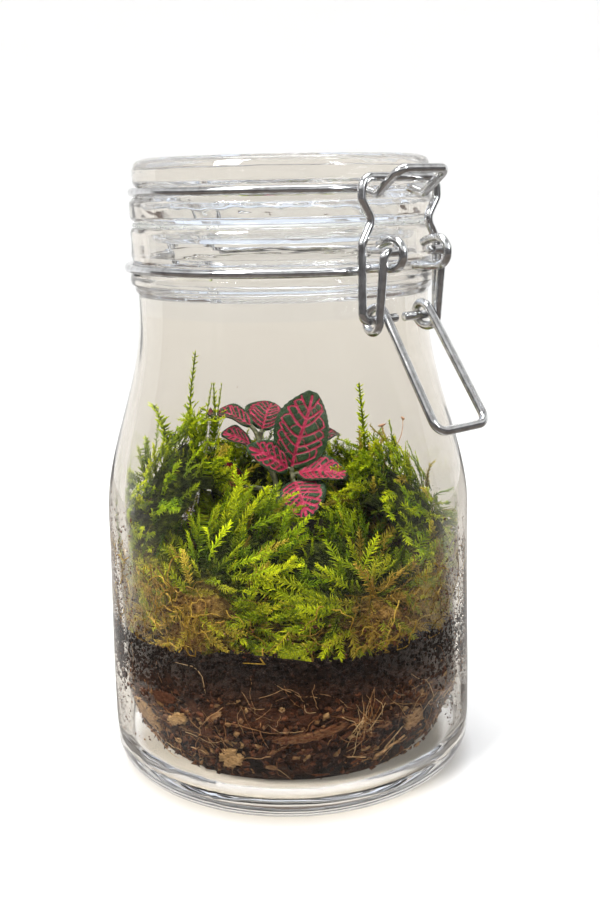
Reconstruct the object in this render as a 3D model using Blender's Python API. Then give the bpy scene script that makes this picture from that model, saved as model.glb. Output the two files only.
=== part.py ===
"""Clip-top glass jar with a moss and fittonia terrarium growing in it.

Frame: +Z up, origin on the jar's axis in its base plane, the clasp at the front (-Y) and
the lid's hinge at the back (+Y). Lengths below are millimetres; MM turns them into metres.
"""
import math

import bmesh
import bpy
import numpy as np
from mathutils import Vector

MM = 0.001

# ---------------------------------------------------------------- driving dimensions (mm)
GAP = 0.3                    # air kept between two pieces that touch
TURN_STEPS = 40              # facets round a turned piece

BODY_R = 55.9                # widest outside radius of the jar, low on the wall
BODY_TOP_R = 55.2            # outside radius where the shoulder starts
NECK_R = 43.1                # narrowest outside radius, under the bead
HEEL_R = 10.5                # rounding between wall and base
SHOULDER_LOW_Z = 80.0
SHOULDER_HIGH_Z = 140.0
NECK_TOP_Z = 146.5
BEAD_Z = 151.0
BEAD_R = 45.2
BAND_LOW_Z = 156.6
BAND_R = 44.6
RIM_Z = 165.4                # top of the jar's mouth
MOUTH_R = 40.2               # inside radius of the mouth
WALL = 3.1                   # glass thickness of the wall
FLOOR_Z = 6.3                # top of the glass floor
FLOOR_CORNER_R = 9.0         # rounding inside, between wall and floor

GASKET_T = 0.8
GASKET_OUT_R = 44.0
LID_FLANGE_Z = RIM_Z + GASKET_T + 2 * GAP
LID_FLANGE_TOP_Z = 174.0
GROOVE_Z = 175.4
LID_DISC_R = 43.5
LID_TOP_Z = 184.7
LID_CORNER_R = 3.6
LID_PLUG_R = 38.7            # lip that centres the lid in the mouth
LID_PLUG_Z = 161.5
LID_HOLLOW_R = 34.6
LID_HOLLOW_Z = 177.0

WIRE_R = 1.2                 # every wire of the fittings is 2.4 mm thick
NECK_WIRE_Z = 154.0
NECK_WIRE_R = 45.5
LID_WIRE_R = 43.6            # radius of the wire's centreline in the lid's groove

LEVER_PIVOT = (53.5, 159.0)  # distance in front of the axis, and height
LINK_PIVOT = (48.4, 141.2)
LINK_BAR = (48.4, 178.2)
LINK_LEG_X = 14.2
LINK_PINCH_X = 10.4
LINK_PINCH_Z = 167.2
LINK_PIN_END_X = 1.5
ARM_X = 11.1
HOOK_END_X = 5.5
COIL_R = 3.2
HANDLE_TOP_X = 8.5
HANDLE_END = (71.1, 114.0)
HANDLE_END_X = 9.7
EYE_X = 8.4
EYE_CENTRE = (54.0, 158.5)
EYE_R = 3.7
NOSE_X = 8.8
NOSE_DIP = (48.6, 173.8)
NOSE_TOP = (57.0, 180.2)

HINGE = (51.0, 161.0)        # distance behind the axis, and height, of the hinge bar
HINGE_BAR_X = 11.0
HINGE_CURL_X = 7.0
HINGE_CURL_R = 2 * WIRE_R + 0.35

LITTER_TOP_Z = 38.0
SOIL_EDGE_Z = 49.5
SOIL_MOUND_Z = 74.0
FILL_R = BODY_R - WALL - 0.7  # what fills the jar stops just inside the glass
BARK_T = 1.5                 # thickness of the bark pieces pressed against the glass
MOSS_IN_R = 16.0
MOSS_OUT_R = 50.6
PLANTING_TURN = math.radians(-41.0)  # the planting faces this way from the jar's front


# ---------------------------------------------------------------- shared makers
def clear_scene():
    for obj in list(bpy.data.objects):
        bpy.data.objects.remove(obj, do_unlink=True)


def material(name, colour, roughness, metallic=0.0, transmission=0.0):
    mat = bpy.data.materials.new(name)
    mat.use_nodes = True
    shader = mat.node_tree.nodes["Principled BSDF"]
    shader.inputs["Base Color"].default_value = (*colour, 1.0)
    shader.inputs["Roughness"].default_value = roughness
    shader.inputs["Metallic"].default_value = metallic
    shader.inputs["Transmission Weight"].default_value = transmission
    return mat


def add_object(name, data, mat, parent=None):
    """Link new data as an object; its points are in world millimetres turned to metres."""
    obj = bpy.data.objects.new(name, data)
    bpy.context.scene.collection.objects.link(obj)
    data.materials.append(mat)
    if parent is not None:
        obj.parent = parent
        obj.matrix_parent_inverse = parent.matrix_world.inverted()
    return obj


def add_pivot(name, place, parent=None):
    """An empty on a joint's axis, which carries the pieces that turn about it."""
    pivot = bpy.data.objects.new(name, None)
    bpy.context.scene.collection.objects.link(pivot)
    pivot.empty_display_size = 0.01
    pivot.location = Vector(place) * MM
    if parent is not None:
        pivot.parent = parent
        pivot.location = (Vector(place) * MM) - parent.matrix_world.translation
    bpy.context.view_layer.update()
    return pivot


def finish_bmesh(name, bm, mat, parent=None, sharp_deg=40.0):
    bmesh.ops.recalc_face_normals(bm, faces=bm.faces)
    mesh = bpy.data.meshes.new(name)
    bm.to_mesh(mesh)
    bm.free()
    mesh.shade_smooth()
    mesh.set_sharp_from_angle(angle=math.radians(sharp_deg))
    return add_object(name, mesh, mat, parent)


def join_skins(bm, top, bottom):
    """Close two matching grids of vertices into one thin body."""
    rows, columns = len(top) - 1, len(top[0]) - 1
    for i in range(rows):
        for j in range(columns):
            bm.faces.new((top[i][j], top[i][j + 1], top[i + 1][j + 1], top[i + 1][j]))
            bm.faces.new((bottom[i][j], bottom[i + 1][j], bottom[i + 1][j + 1],
                          bottom[i][j + 1]))
    for i in range(rows):
        for j in (0, columns):
            bm.faces.new((top[i][j], top[i + 1][j], bottom[i + 1][j], bottom[i][j]))
    for j in range(columns):
        for i in (0, rows):
            bm.faces.new((top[i][j], top[i][j + 1], bottom[i][j + 1], bottom[i][j]))


def turned(name, outline, mat, parent=None, steps=TURN_STEPS):
    """Turn a closed outline of (radius, height) points about the Z axis."""
    bm = bmesh.new()
    points = [bm.verts.new((r * MM, 0.0, z * MM)) for r, z in outline]
    edges = [bm.edges.new((a, b)) for a, b in zip(points, points[1:])]
    if outline[0][0] > 0:
        edges.append(bm.edges.new((points[-1], points[0])))
    bmesh.ops.spin(bm, geom=points + edges, cent=(0, 0, 0), axis=(0, 0, 1),
                   angle=2 * math.pi, steps=steps, use_merge=True)
    bmesh.ops.remove_doubles(bm, verts=bm.verts, dist=1e-7)
    bmesh.ops.dissolve_degenerate(bm, edges=bm.edges, dist=1e-8)
    return finish_bmesh(name, bm, mat, parent)


def arc(centre, radius, start_deg, end_deg, steps):
    """Points of a circular arc in a turned piece's outline."""
    angles = np.radians(np.linspace(start_deg, end_deg, steps + 1))
    return [(centre[0] + radius * math.cos(a), centre[1] + radius * math.sin(a))
            for a in angles]


def smooth_step(t):
    t = min(max(t, 0.0), 1.0)
    return t * t * (3 - 2 * t)


def bent(points, radius, steps=5):
    """A wire's centreline: straight runs between the points, each bend an arc."""
    points = [Vector(p) for p in points]
    radii = radius if isinstance(radius, (list, tuple)) else [radius] * (len(points) - 2)
    line = [points[0]]
    for before, corner, after, bend in zip(points, points[1:], points[2:], radii):
        into = (corner - before).normalized()
        out = (after - corner).normalized()
        turn = into.angle(out)
        if turn < math.radians(2):
            line.append(corner)
            continue
        cut = bend * math.tan(turn / 2)
        start, end = corner - into * cut, corner + out * cut
        centre = corner + (out - into).normalized() * (bend / math.cos(turn / 2))
        normal = into.cross(out).normalized()
        arm = start - centre
        for i in range(steps + 1):
            angle = turn * i / steps
            swing = arm * math.cos(angle) + normal.cross(arm) * math.sin(angle)
            line.append(centre + swing)
        line[-1] = end
    line.append(points[-1])
    return line


def tube(name, points, radius, mat, parent=None, resolution=2, taper=None):
    """A round wire, stem or shoot along a run of points, with closed ends."""
    curve = bpy.data.curves.new(name, "CURVE")
    curve.dimensions = "3D"
    curve.bevel_depth = radius * MM
    curve.bevel_resolution = resolution
    curve.use_fill_caps = True
    spline = curve.splines.new("POLY")
    spline.points.add(len(points) - 1)
    for i, (slot, point) in enumerate(zip(spline.points, points)):
        slot.co = (*(Vector(point) * MM), 1.0)
        slot.radius = 1.0 if taper is None else taper(i / (len(points) - 1))
    return add_object(name, curve, mat, parent)


def curved(points, steps):
    """A smooth line through a few points, as a Catmull-Rom curve."""
    points = [Vector(p) for p in points]
    points = [2 * points[0] - points[1]] + points + [2 * points[-1] - points[-2]]
    line = []
    for a, b, c, d in zip(points, points[1:], points[2:], points[3:]):
        for i in range(steps):
            t = i / steps
            line.append(0.5 * (2 * b + (c - a) * t + (2 * a - 5 * b + 4 * c - d) * t * t
                               + (3 * b - a - 3 * c + d) * t ** 3))
    return line + [points[-2]]


def planted(side, depth, height):
    """A place in the planting: side to its right, depth behind its middle."""
    c, s = math.cos(PLANTING_TURN), math.sin(PLANTING_TURN)
    return Vector((side * c - depth * s, side * s + depth * c, height))


# ---------------------------------------------------------------- glass and gasket
def wall_radius(z):
    """Outside radius of the jar between its heel and the top of its neck."""
    if z <= SHOULDER_LOW_Z:
        low_z = 25.0
        share = smooth_step((z - low_z) / (SHOULDER_LOW_Z - low_z))
        return BODY_R - (BODY_R - BODY_TOP_R) * share
    span = SHOULDER_HIGH_Z - SHOULDER_LOW_Z
    return NECK_R + (BODY_TOP_R - NECK_R) * smooth_step((SHOULDER_HIGH_Z - z) / span)


def jar_body(mat):
    heel_centre = (BODY_R - HEEL_R, HEEL_R)
    wall_heights = [25, 55, 80, 89, 98, 106, 114, 122, 131, 140]
    outside = [(0.0, 0.0)]
    outside += arc(heel_centre, HEEL_R, -90, 0, 5)
    outside += [(wall_radius(z), z) for z in wall_heights]
    outside += [(NECK_R, NECK_TOP_Z), (NECK_R + 0.6, 149.0)]
    outside += [(BEAD_R, BEAD_Z - 0.9), (BEAD_R, BEAD_Z + 0.6)]
    outside += [(NECK_WIRE_R - WIRE_R - GAP, 152.6), (NECK_WIRE_R - WIRE_R - GAP, 155.4)]
    outside += [(BAND_R, BAND_LOW_Z), (BAND_R, RIM_Z - 0.9), (BAND_R - 0.9, RIM_Z)]
    inside = [(MOUTH_R + 0.8, RIM_Z), (MOUTH_R, RIM_Z - 0.8)]
    inside += [(MOUTH_R - 0.2, NECK_TOP_Z)]
    inside += [(wall_radius(z) - WALL, z) for z in reversed(wall_heights)]
    corner = (BODY_R - WALL - FLOOR_CORNER_R, FLOOR_Z + FLOOR_CORNER_R)
    inside += arc(corner, FLOOR_CORNER_R, 0, -90, 4)
    inside += [(0.0, FLOOR_Z)]
    return turned("jar_body", outside + inside, mat)


def lid(mat, parent):
    groove_r = LID_WIRE_R - WIRE_R - GAP
    outline = [(0.0, LID_HOLLOW_Z), (LID_HOLLOW_R - 4, LID_HOLLOW_Z)]
    outline += [(LID_HOLLOW_R, LID_HOLLOW_Z - 4), (LID_HOLLOW_R, LID_PLUG_Z)]
    outline += [(LID_PLUG_R - 0.8, LID_PLUG_Z), (LID_PLUG_R, LID_PLUG_Z + 1.2)]
    outline += [(LID_PLUG_R, LID_FLANGE_Z), (BAND_R - 0.9, LID_FLANGE_Z)]
    outline += [(BAND_R, LID_FLANGE_Z + 1.4), (BAND_R, LID_FLANGE_TOP_Z - 1.6)]
    outline += [(groove_r, LID_FLANGE_TOP_Z), (groove_r, GROOVE_Z + WIRE_R + GAP)]
    outline += [(LID_DISC_R, GROOVE_Z + WIRE_R + 1.2)]
    corner = (LID_DISC_R - LID_CORNER_R, LID_TOP_Z - LID_CORNER_R)
    outline += arc(corner, LID_CORNER_R, 0, 90, 4)
    outline += [(0.0, LID_TOP_Z)]
    return turned("lid", outline, mat, parent)


def gasket(mat, parent):
    low, high = RIM_Z + GAP, RIM_Z + GAP + GASKET_T
    inner = MOUTH_R - 0.6
    outline = [(inner, low), (GASKET_OUT_R, low), (GASKET_OUT_R, high), (inner, high)]
    return turned("gasket", outline, mat, parent)


# ---------------------------------------------------------------- wire fittings
def ring_run(radius, height, start_x, end_x, to_back, steps):
    """Round the jar's right side from the front, at start_x, to the front or the back."""
    start = -math.acos(start_x / radius)
    end = math.acos(end_x / radius) * (1 if to_back else -1)
    return [(radius * math.cos(a), radius * math.sin(a), height)
            for a in np.linspace(start, end, steps + 1)]


def mirrored(points):
    """The other half of a wire whose two sides match, in running order."""
    return [(-x, y, z) for x, y, z in reversed([tuple(p) for p in points])]


def neck_ring(mat):
    """Wire round the neck: an eye at each front end and the hinge bar at the back."""
    eye_r, eye_z = EYE_CENTRE
    leave_y = -math.sqrt(NECK_WIRE_R ** 2 - EYE_X ** 2)
    low_z = eye_z - EYE_R
    eye = [(EYE_X, -48.6, eye_z + 2.2), (EYE_X, -50.6, eye_z + 3.0)]
    eye += [(EYE_X, -(eye_r + EYE_R * math.cos(a)), eye_z + EYE_R * math.sin(a))
            for a in np.radians(np.linspace(100, -90, 10))]
    joins_x = 12.5
    joins = ring_run(NECK_WIRE_R, NECK_WIRE_Z, joins_x, joins_x, False, 1)[0]
    into_ring = bent([eye[-1], (EYE_X, leave_y - 0.4, low_z - 0.2), joins], 1.8, 4)
    side = ring_run(NECK_WIRE_R, NECK_WIRE_Z, joins_x + 1.5, joins_x + 2.0, True, 24)
    back_y = math.sqrt(NECK_WIRE_R ** 2 - HINGE_BAR_X ** 2)
    hinge_y, hinge_z = HINGE
    back = bent([side[-1], (HINGE_BAR_X + 0.2, back_y + 0.3, NECK_WIRE_Z),
                 (HINGE_BAR_X, hinge_y, NECK_WIRE_Z + 1.5),
                 (HINGE_BAR_X, hinge_y, hinge_z), (0, hinge_y, hinge_z)],
                [1.6, 2.6, 2.4], 4)
    half = eye[:-1] + [tuple(p) for p in into_ring] + side[:-1] + [tuple(p) for p in back]
    return tube("neck_ring", half[:-1] + mirrored(half[:-1]), WIRE_R, mat)


def lid_ring(mat, parent):
    """Wire in the lid's groove: the nose at the front and a hinge curl at each end."""
    hinge_y, hinge_z = HINGE
    curl = [(HINGE_CURL_X, hinge_y + HINGE_CURL_R * math.cos(a),
             hinge_z + HINGE_CURL_R * math.sin(a))
            for a in np.radians(np.linspace(80, -180, 12))]
    groove_y = math.sqrt(LID_WIRE_R ** 2 - HINGE_CURL_X ** 2)
    near_x = HINGE_CURL_X + 4.5
    near = ring_run(LID_WIRE_R, GROOVE_Z, near_x, near_x, True, 24)[::-1]
    leg = bent([curl[-1], (HINGE_CURL_X, hinge_y - HINGE_CURL_R, GROOVE_Z - 0.4),
                (HINGE_CURL_X + 0.1, groove_y + 0.3, GROOVE_Z), near[0]], [2.2, 1.2], 4)
    nose_y = -math.sqrt(LID_WIRE_R ** 2 - NOSE_X ** 2)
    nose = bent([near[-1], (NOSE_X, nose_y - 0.2, GROOVE_Z),
                 (NOSE_X, -NOSE_DIP[0], NOSE_DIP[1]), (NOSE_X, -NOSE_TOP[0], NOSE_TOP[1]),
                 (0, -NOSE_TOP[0], NOSE_TOP[1])], [1.6, 1.8, 2.6], 4)
    half = curl[:-1] + [tuple(p) for p in leg] + near[1:-1] + [tuple(p) for p in nose]
    return tube("lid_ring", half[:-1] + mirrored(half[:-1]), WIRE_R, mat, parent)


def clasp_lever(mat, parent):
    """One wire: hooks in the neck ring's eyes, arms, coils for the link, and the handle."""
    pivot_r, pivot_z = LEVER_PIVOT
    coil_r, coil_z = LINK_PIVOT
    run = np.array(HANDLE_END) - np.array(LINK_PIVOT)
    handle_deg = math.degrees(math.atan2(run[1], run[0]))
    sweep = np.radians(np.linspace(0, handle_deg + 90 - 360, 17))
    coil = []
    for i, angle in enumerate(sweep):
        x = ARM_X + (HANDLE_TOP_X - ARM_X) * smooth_step(i / (len(sweep) - 1))
        coil.append((x, -(coil_r + COIL_R * math.cos(angle)),
                     coil_z + COIL_R * math.sin(angle)))
    arm = bent([(HOOK_END_X, -pivot_r, pivot_z), (ARM_X, -pivot_r, pivot_z), coil[0]], 1.6)
    handle = bent([coil[-1], (HANDLE_END_X, -HANDLE_END[0], HANDLE_END[1]),
                   (0, -HANDLE_END[0], HANDLE_END[1])], 3.2)
    half = [tuple(p) for p in arm[:-1]] + coil[:-1] + [tuple(p) for p in handle]
    return tube("clasp_lever", half[:-1] + mirrored(half[:-1]), WIRE_R, mat, parent)


def clasp_link(mat, parent):
    """One wire: pins in the lever's coils, pinched legs and the bar behind the nose."""
    front, pin_z = LINK_PIVOT
    bar_z = LINK_BAR[1]
    half = bent([(LINK_PIN_END_X, -front, pin_z), (LINK_LEG_X, -front, pin_z),
                 (LINK_LEG_X, -front, LINK_PINCH_Z - 5.9),
                 (LINK_PINCH_X, -front, LINK_PINCH_Z),
                 (LINK_LEG_X, -front, LINK_PINCH_Z + 5.4),
                 (LINK_LEG_X - 0.3, -front, bar_z), (0, -front, bar_z)],
                [2.2, 2.6, 2.8, 2.6, 3.4], 5)
    half = [tuple(p) for p in half]
    return tube("clasp_link", half[:-1] + mirrored(half[:-1]), WIRE_R, mat, parent)


# ---------------------------------------------------------------- soil and litter
def soil_height(r):
    """Height of the soil's surface: low at the glass, mounded round the plant."""
    return SOIL_EDGE_Z + (SOIL_MOUND_Z - SOIL_EDGE_Z) * smooth_step((44.0 - r) / 36.0)


def litter_layer(mat):
    low = FLOOR_Z + GAP
    wall = FILL_R - BARK_T - GAP
    outline = [(0.0, low), (wall - 8.0, low), (wall - 3.4, low + 2.0)]
    outline += [(wall, low + 6.4), (wall, LITTER_TOP_Z), (0.0, LITTER_TOP_Z)]
    return turned("litter_layer", outline, mat, steps=32)


def soil(mat):
    low = LITTER_TOP_Z + GAP
    radii = [FILL_R - 0.9, 46, 40, 34, 28, 22, 16, 10]
    outline = [(0.0, low), (FILL_R - 0.9, low)]
    outline += [(r, soil_height(r)) for r in radii]
    outline += [(0.0, SOIL_MOUND_Z)]
    return turned("soil", outline, mat, steps=32)


# name, bearing from the planting's front, height, length, width, rise to its right (deg)
BARK = [
    ("bark_strip", 6, 27.0, 20.0, 3.6, 13),
    ("bark_chunk_left", -56, 24.0, 12.0, 9.0, -35),
    ("bark_red_left", -42, 34.0, 9.5, 3.4, 4),
    ("leaf_litter", -38, 28.0, 8.5, 3.6, 30),
    ("bark_red_small", -27, 25.6, 4.4, 3.4, 10),
    ("bark_tan_front", -21, 17.6, 7.5, 6.0, 40),
    ("root_bundle", 23, 27.8, 3.0, 8.5, 12),
    ("bark_tan_right", 43, 25.0, 7.0, 7.0, 20),
    ("twig", 34, 17.6, 9.0, 1.6, 28),
    ("bark_back", 170, 26.0, 18.0, 5.0, 10),
]


def bark_piece(name, bearing_deg, height, length, width, rise_deg, mat):
    """A flake of bark that follows the inside of the glass."""
    along, across = 6, 3
    rise = math.radians(rise_deg)
    inner, outer = FILL_R - BARK_T, FILL_R
    bm = bmesh.new()
    skins = []
    for r in (outer, inner):
        rows = []
        for i in range(along + 1):
            u = 2 * i / along - 1
            row = []
            for j in range(across + 1):
                v = 2 * j / across - 1
                run = length / 2 * u * math.sqrt(1 - 0.3 * v * v)
                lift = width / 2 * v * math.sqrt(1 - 0.5 * u * u)
                aside = run * math.cos(rise) - lift * math.sin(rise)
                z = height + run * math.sin(rise) + lift * math.cos(rise)
                angle = math.radians(bearing_deg - 90) + aside / r
                spot = planted(r * math.cos(angle), r * math.sin(angle), z)
                row.append(bm.verts.new(spot * MM))
            rows.append(row)
        skins.append(rows)
    join_skins(bm, *skins)
    return finish_bmesh(name, bm, mat)


# ---------------------------------------------------------------- moss
# name, first and last bearing in degrees (0 to the planting's right, 90 behind it),
# height of its crest, and the crest's distance from the axis
MOSS_CLUMPS = [
    ("moss_right", -30, 38, 96.0, 33.0),
    ("moss_back_right", 38, 92, 91.0, 30.0),
    ("moss_back_left", 92, 146, 93.0, 30.0),
    ("moss_left", 146, 214, 104.0, 34.0),
    ("moss_front_left", 214, 266, 83.0, 32.0),
    ("moss_front_right", 266, 330, 78.0, 32.0),
]


def moss_rise(r, share, crest_z, crest_r):
    """Thickness of a moss clump at a radius and a share of its bearing range."""
    if r < crest_r:
        dome = 1 - ((crest_r - r) / (crest_r - MOSS_IN_R)) ** 2
    else:
        dome = math.sqrt(1 - ((r - crest_r) / (MOSS_OUT_R + 7 - crest_r)) ** 2)
    edge = 1 - 0.16 * (2 * share - 1) ** 2
    return max((crest_z - soil_height(crest_r)) * dome * edge, 3.0)


def moss_clump(name, first_deg, last_deg, crest_z, crest_r, mat):
    """A wedge of the moss ring, rooted on the soil and domed on top."""
    across, around = 7, 6
    radii = np.linspace(MOSS_IN_R, MOSS_OUT_R, across + 1)
    half_gap = 0.35
    bm = bmesh.new()
    low, high = [], []
    for j in range(around + 1):
        share = j / around
        row_low, row_high = [], []
        for r in radii:
            slack = math.degrees(half_gap / r)
            start, end = first_deg + slack, last_deg - slack
            angle = math.radians(start + (end - start) * share)
            floor = soil_height(r) + 2 * GAP
            rise = moss_rise(r, share, crest_z, crest_r)
            x, y = r * math.cos(angle), r * math.sin(angle)
            row_low.append(bm.verts.new(planted(x, y, floor) * MM))
            row_high.append(bm.verts.new(planted(x, y, floor + rise) * MM))
        low.append(row_low)
        high.append(row_high)
    join_skins(bm, high, low)
    return finish_bmesh(name, bm, mat)


def moss_top(side, depth):
    """Height of the moss surface over a place in the planting."""
    r = math.hypot(side, depth)
    bearing = math.degrees(math.atan2(depth, side))
    for _, first, last, crest_z, crest_r in MOSS_CLUMPS:
        turn = (bearing - first) % 360
        if turn <= last - first:
            share = turn / (last - first)
            return soil_height(r) + 2 * GAP + moss_rise(r, share, crest_z, crest_r)
    return soil_height(r)


# name, place of its foot (side, depth), sideways and backward lean, length
MOSS_SHOOTS = [
    ("moss_shoot_tall_left", -31.0, 7.0, 3.4, 2.0, 22.0),
    ("moss_shoot_left", -25.4, 10.4, 4.0, 1.4, 15.0),
    ("moss_shoot_right", 24.6, 11.4, -1.2, 0.4, 20.5),
    ("moss_shoot_front", -36.0, -2.0, -4.6, 0.6, 9.5),
]


def moss_shoot(name, side, depth, lean_side, lean_back, length, mat):
    foot = moss_top(side, depth) + 0.5
    line = curved([planted(side, depth, foot),
                   planted(side + 0.3 * lean_side, depth + 0.3 * lean_back,
                           foot + 0.5 * length),
                   planted(side + lean_side, depth + lean_back, foot + length)], 4)
    return tube(name, line, 1.1, mat, resolution=1, taper=lambda t: 1 - 0.6 * t)


# ---------------------------------------------------------------- fittonia
# base and tip as (side, depth, height), half width, bend along the blade, and which way
# the blade's upper face looks (to the right, behind, up)
LEAVES = [
    ("leaf_upright", (1.9, 0.0, 91.3), (8.6, 4.0, 114.5), 8.8, 1.6, (-0.15, -0.95, 0.3)),
    ("leaf_left", (0.3, -1.6, 91.4), (-12.2, -7.0, 99.4), 5.0, 1.0, (0.1, -0.8, 0.6)),
    ("leaf_right", (4.0, -1.8, 89.8), (18.6, -8.0, 90.0), 5.2, 1.8, (0.1, -0.62, 0.78)),
    ("leaf_lower", (2.6, -4.6, 87.8), (6.2, -14.4, 78.8), 7.4, 1.8, (0.0, -0.77, 0.64)),
    ("leaf_back_left", (-11.4, 6.6, 103.2), (-23.6, 9.6, 107.0), 5.4, 1.4, (0, -0.2, 1)),
    ("leaf_back", (-8.4, 9.4, 101.4), (-4.4, 16.0, 109.0), 6.6, 1.6, (-0.2, -0.8, 0.5)),
    ("leaf_far_left", (-11.6, 4.4, 97.6), (-20.6, 0.8, 101.8), 4.2, 1.0, (0, -0.5, 0.85)),
    ("leaf_back_right", (6.6, 8.6, 96.8), (17.0, 16.0, 98.6), 5.6, 1.4, (0, -0.3, 1)),
    ("leaf_small", (-14.6, 0.8, 85.4), (-19.0, -3.0, 94.4), 3.2, 0.6, (-0.2, -0.9, 0.3)),
]


def leaf(name, base, tip, half_width, bend, facing, mat):
    """An oval blade with two skins, hollowed a little along its midrib."""
    along, across, thick = 8, 4, 0.7
    base, tip = planted(*base), planted(*tip)
    run = tip - base
    forward = run.normalized()
    width = forward.cross(planted(*facing)).normalized()
    normal = width.cross(forward).normalized()
    bm = bmesh.new()
    skins = []
    for level in (0.5, -0.5):
        rows = []
        for i in range(along + 1):
            t = i / along
            half = half_width * math.sin(math.pi * min(0.04 + 0.93 * t, 1.0)) ** 0.8
            middle = base + run * t + normal * (bend * math.sin(math.pi * t))
            row = []
            for j in range(across + 1):
                s = 2 * j / across - 1
                lift = 1.4 * s * s * half / half_width
                edge = 0.3 if abs(s) > 0.99 or i in (0, along) else 1.0
                point = middle + width * (half * s)
                point += normal * (lift + level * thick * edge)
                row.append(bm.verts.new(point * MM))
            rows.append(row)
        skins.append(rows)
    join_skins(bm, *skins)
    return finish_bmesh(name, bm, mat)


def stems(mat):
    """The plant's stems: each rises from the soil mound to the foot of its leaves."""
    foot_z = SOIL_MOUND_Z + 1.2 * GAP + 0.4
    routes = [
        ("stem_front", (1.5, -1.0), [(1.9, -1.6, 82.0), (2.2, -2.0, 87.0), (1.6, -1.0, 90.4)]),
        ("stem_back_left", (-3.0, 3.0), [(-4.6, 4.2, 86.0), (-8.2, 5.0, 95.0),
                                         (-9.8, 6.2, 101.2)]),
        ("stem_back_right", (3.6, 4.4), [(4.4, 5.6, 86.0), (5.2, 7.4, 96.6)]),
    ]
    for name, (side, depth), rest in routes:
        line = curved([planted(side, depth, foot_z)] + [planted(*p) for p in rest], 4)
        tube(name, line, 1.0, mat, resolution=1)


# name, foot (side, depth), head (side, depth, height above the foot)
SPOROPHYTES = [
    ("sporophyte_tall", (32.6, 5.0), (4.5, 3.0, 8.6)),
    ("sporophyte_short", (28.6, 2.0), (0.6, 1.0, 5.6)),
]


def sporophyte(name, foot, head, mat):
    """A moss fruit: a hair-thin stalk that swells into its capsule."""
    start = Vector((foot[0], foot[1], moss_top(*foot) + GAP))
    end = start + Vector(head)
    middle = start.lerp(end, 0.55) + Vector((0.8, 0, 0.4))
    line = curved([planted(*start), planted(*middle), planted(*end)], 5)
    swell = [0.3] * (len(line) - 4) + [0.5, 1.3, 1.7, 0.6]
    return tube(name, line, 0.6, mat, resolution=1,
                taper=lambda t: swell[round(t * (len(line) - 1))])


# ---------------------------------------------------------------- build
def build():
    clear_scene()
    glass = material("clear_glass", (0.86, 0.92, 0.90), 0.03, transmission=1.0)
    silicone = material("clear_silicone", (0.82, 0.83, 0.80), 0.35, transmission=0.6)
    steel = material("polished_wire", (0.62, 0.62, 0.64), 0.18, metallic=1.0)
    peat = material("peat", (0.022, 0.014, 0.010), 0.95)
    bark = material("bark_litter", (0.13, 0.066, 0.034), 0.9)
    moss = material("moss", (0.30, 0.42, 0.03), 0.75)
    leaf_green = material("fittonia_leaf", (0.03, 0.09, 0.03), 0.5)
    stem_tan = material("stem", (0.20, 0.14, 0.06), 0.7)

    lid_pivot = add_pivot("lid_pivot", (0, HINGE[0], HINGE[1]))
    lever_pivot = add_pivot("lever_pivot", (0, -LEVER_PIVOT[0], LEVER_PIVOT[1]))
    link_pivot = add_pivot("link_pivot", (0, -LINK_PIVOT[0], LINK_PIVOT[1]), lever_pivot)

    jar_body(glass)
    lid(glass, lid_pivot)
    gasket(silicone, lid_pivot)
    lid_ring(steel, lid_pivot)
    neck_ring(steel)
    clasp_lever(steel, lever_pivot)
    clasp_link(steel, link_pivot)
    litter_layer(bark)
    soil(peat)
    for piece in BARK:
        bark_piece(*piece, bark)
    for clump in MOSS_CLUMPS:
        moss_clump(*clump, moss)
    for shoot in MOSS_SHOOTS:
        moss_shoot(*shoot, moss)
    stems(stem_tan)
    for blade in LEAVES:
        leaf(*blade, leaf_green)
    for fruit in SPOROPHYTES:
        sporophyte(*fruit, stem_tan)


build()
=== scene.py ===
"""Studio scene of a clip-top glass jar with a moss and fittonia terrarium.

Lengths are millimetres in the CAD model's frame unless a name says otherwise, and turn
into metres when a mesh is made. The planting has a frame of its own: side is to its right,
depth behind its middle, height up. It faces the camera.
"""

import math

import bpy
import numpy as np
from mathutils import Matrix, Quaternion, Vector, noise


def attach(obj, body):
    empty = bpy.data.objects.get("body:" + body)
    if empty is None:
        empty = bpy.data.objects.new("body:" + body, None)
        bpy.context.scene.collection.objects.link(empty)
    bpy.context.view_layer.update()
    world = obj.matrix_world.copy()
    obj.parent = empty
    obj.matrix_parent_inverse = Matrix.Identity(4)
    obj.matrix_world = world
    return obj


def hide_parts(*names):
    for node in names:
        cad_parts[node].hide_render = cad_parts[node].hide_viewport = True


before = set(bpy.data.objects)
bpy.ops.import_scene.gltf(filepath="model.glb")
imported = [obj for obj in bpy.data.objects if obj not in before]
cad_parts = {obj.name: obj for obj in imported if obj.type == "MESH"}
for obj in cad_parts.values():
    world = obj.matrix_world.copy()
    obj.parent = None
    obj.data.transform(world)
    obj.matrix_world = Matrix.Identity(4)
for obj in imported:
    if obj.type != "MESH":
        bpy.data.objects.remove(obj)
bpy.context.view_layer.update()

MM = 0.001
PLANTING_TURN = math.radians(-41.0)
TURN_COS, TURN_SIN = math.cos(PLANTING_TURN), math.sin(PLANTING_TURN)


# ---------------------------------------------------------------- arrays and meshes
def planted(points):
    """Places in the planting's frame, as places in the jar's frame."""
    p = np.asarray(points, float)
    side, depth = p[..., 0], p[..., 1]
    return np.stack([side * TURN_COS - depth * TURN_SIN,
                     side * TURN_SIN + depth * TURN_COS, p[..., 2]], -1)


def smooth_step(t):
    t = np.clip(t, 0.0, 1.0)
    return t * t * (3 - 2 * t)


def unit(v):
    v = np.asarray(v, float)
    return v / np.maximum(np.linalg.norm(v, axis=-1, keepdims=True), 1e-12)


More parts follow.
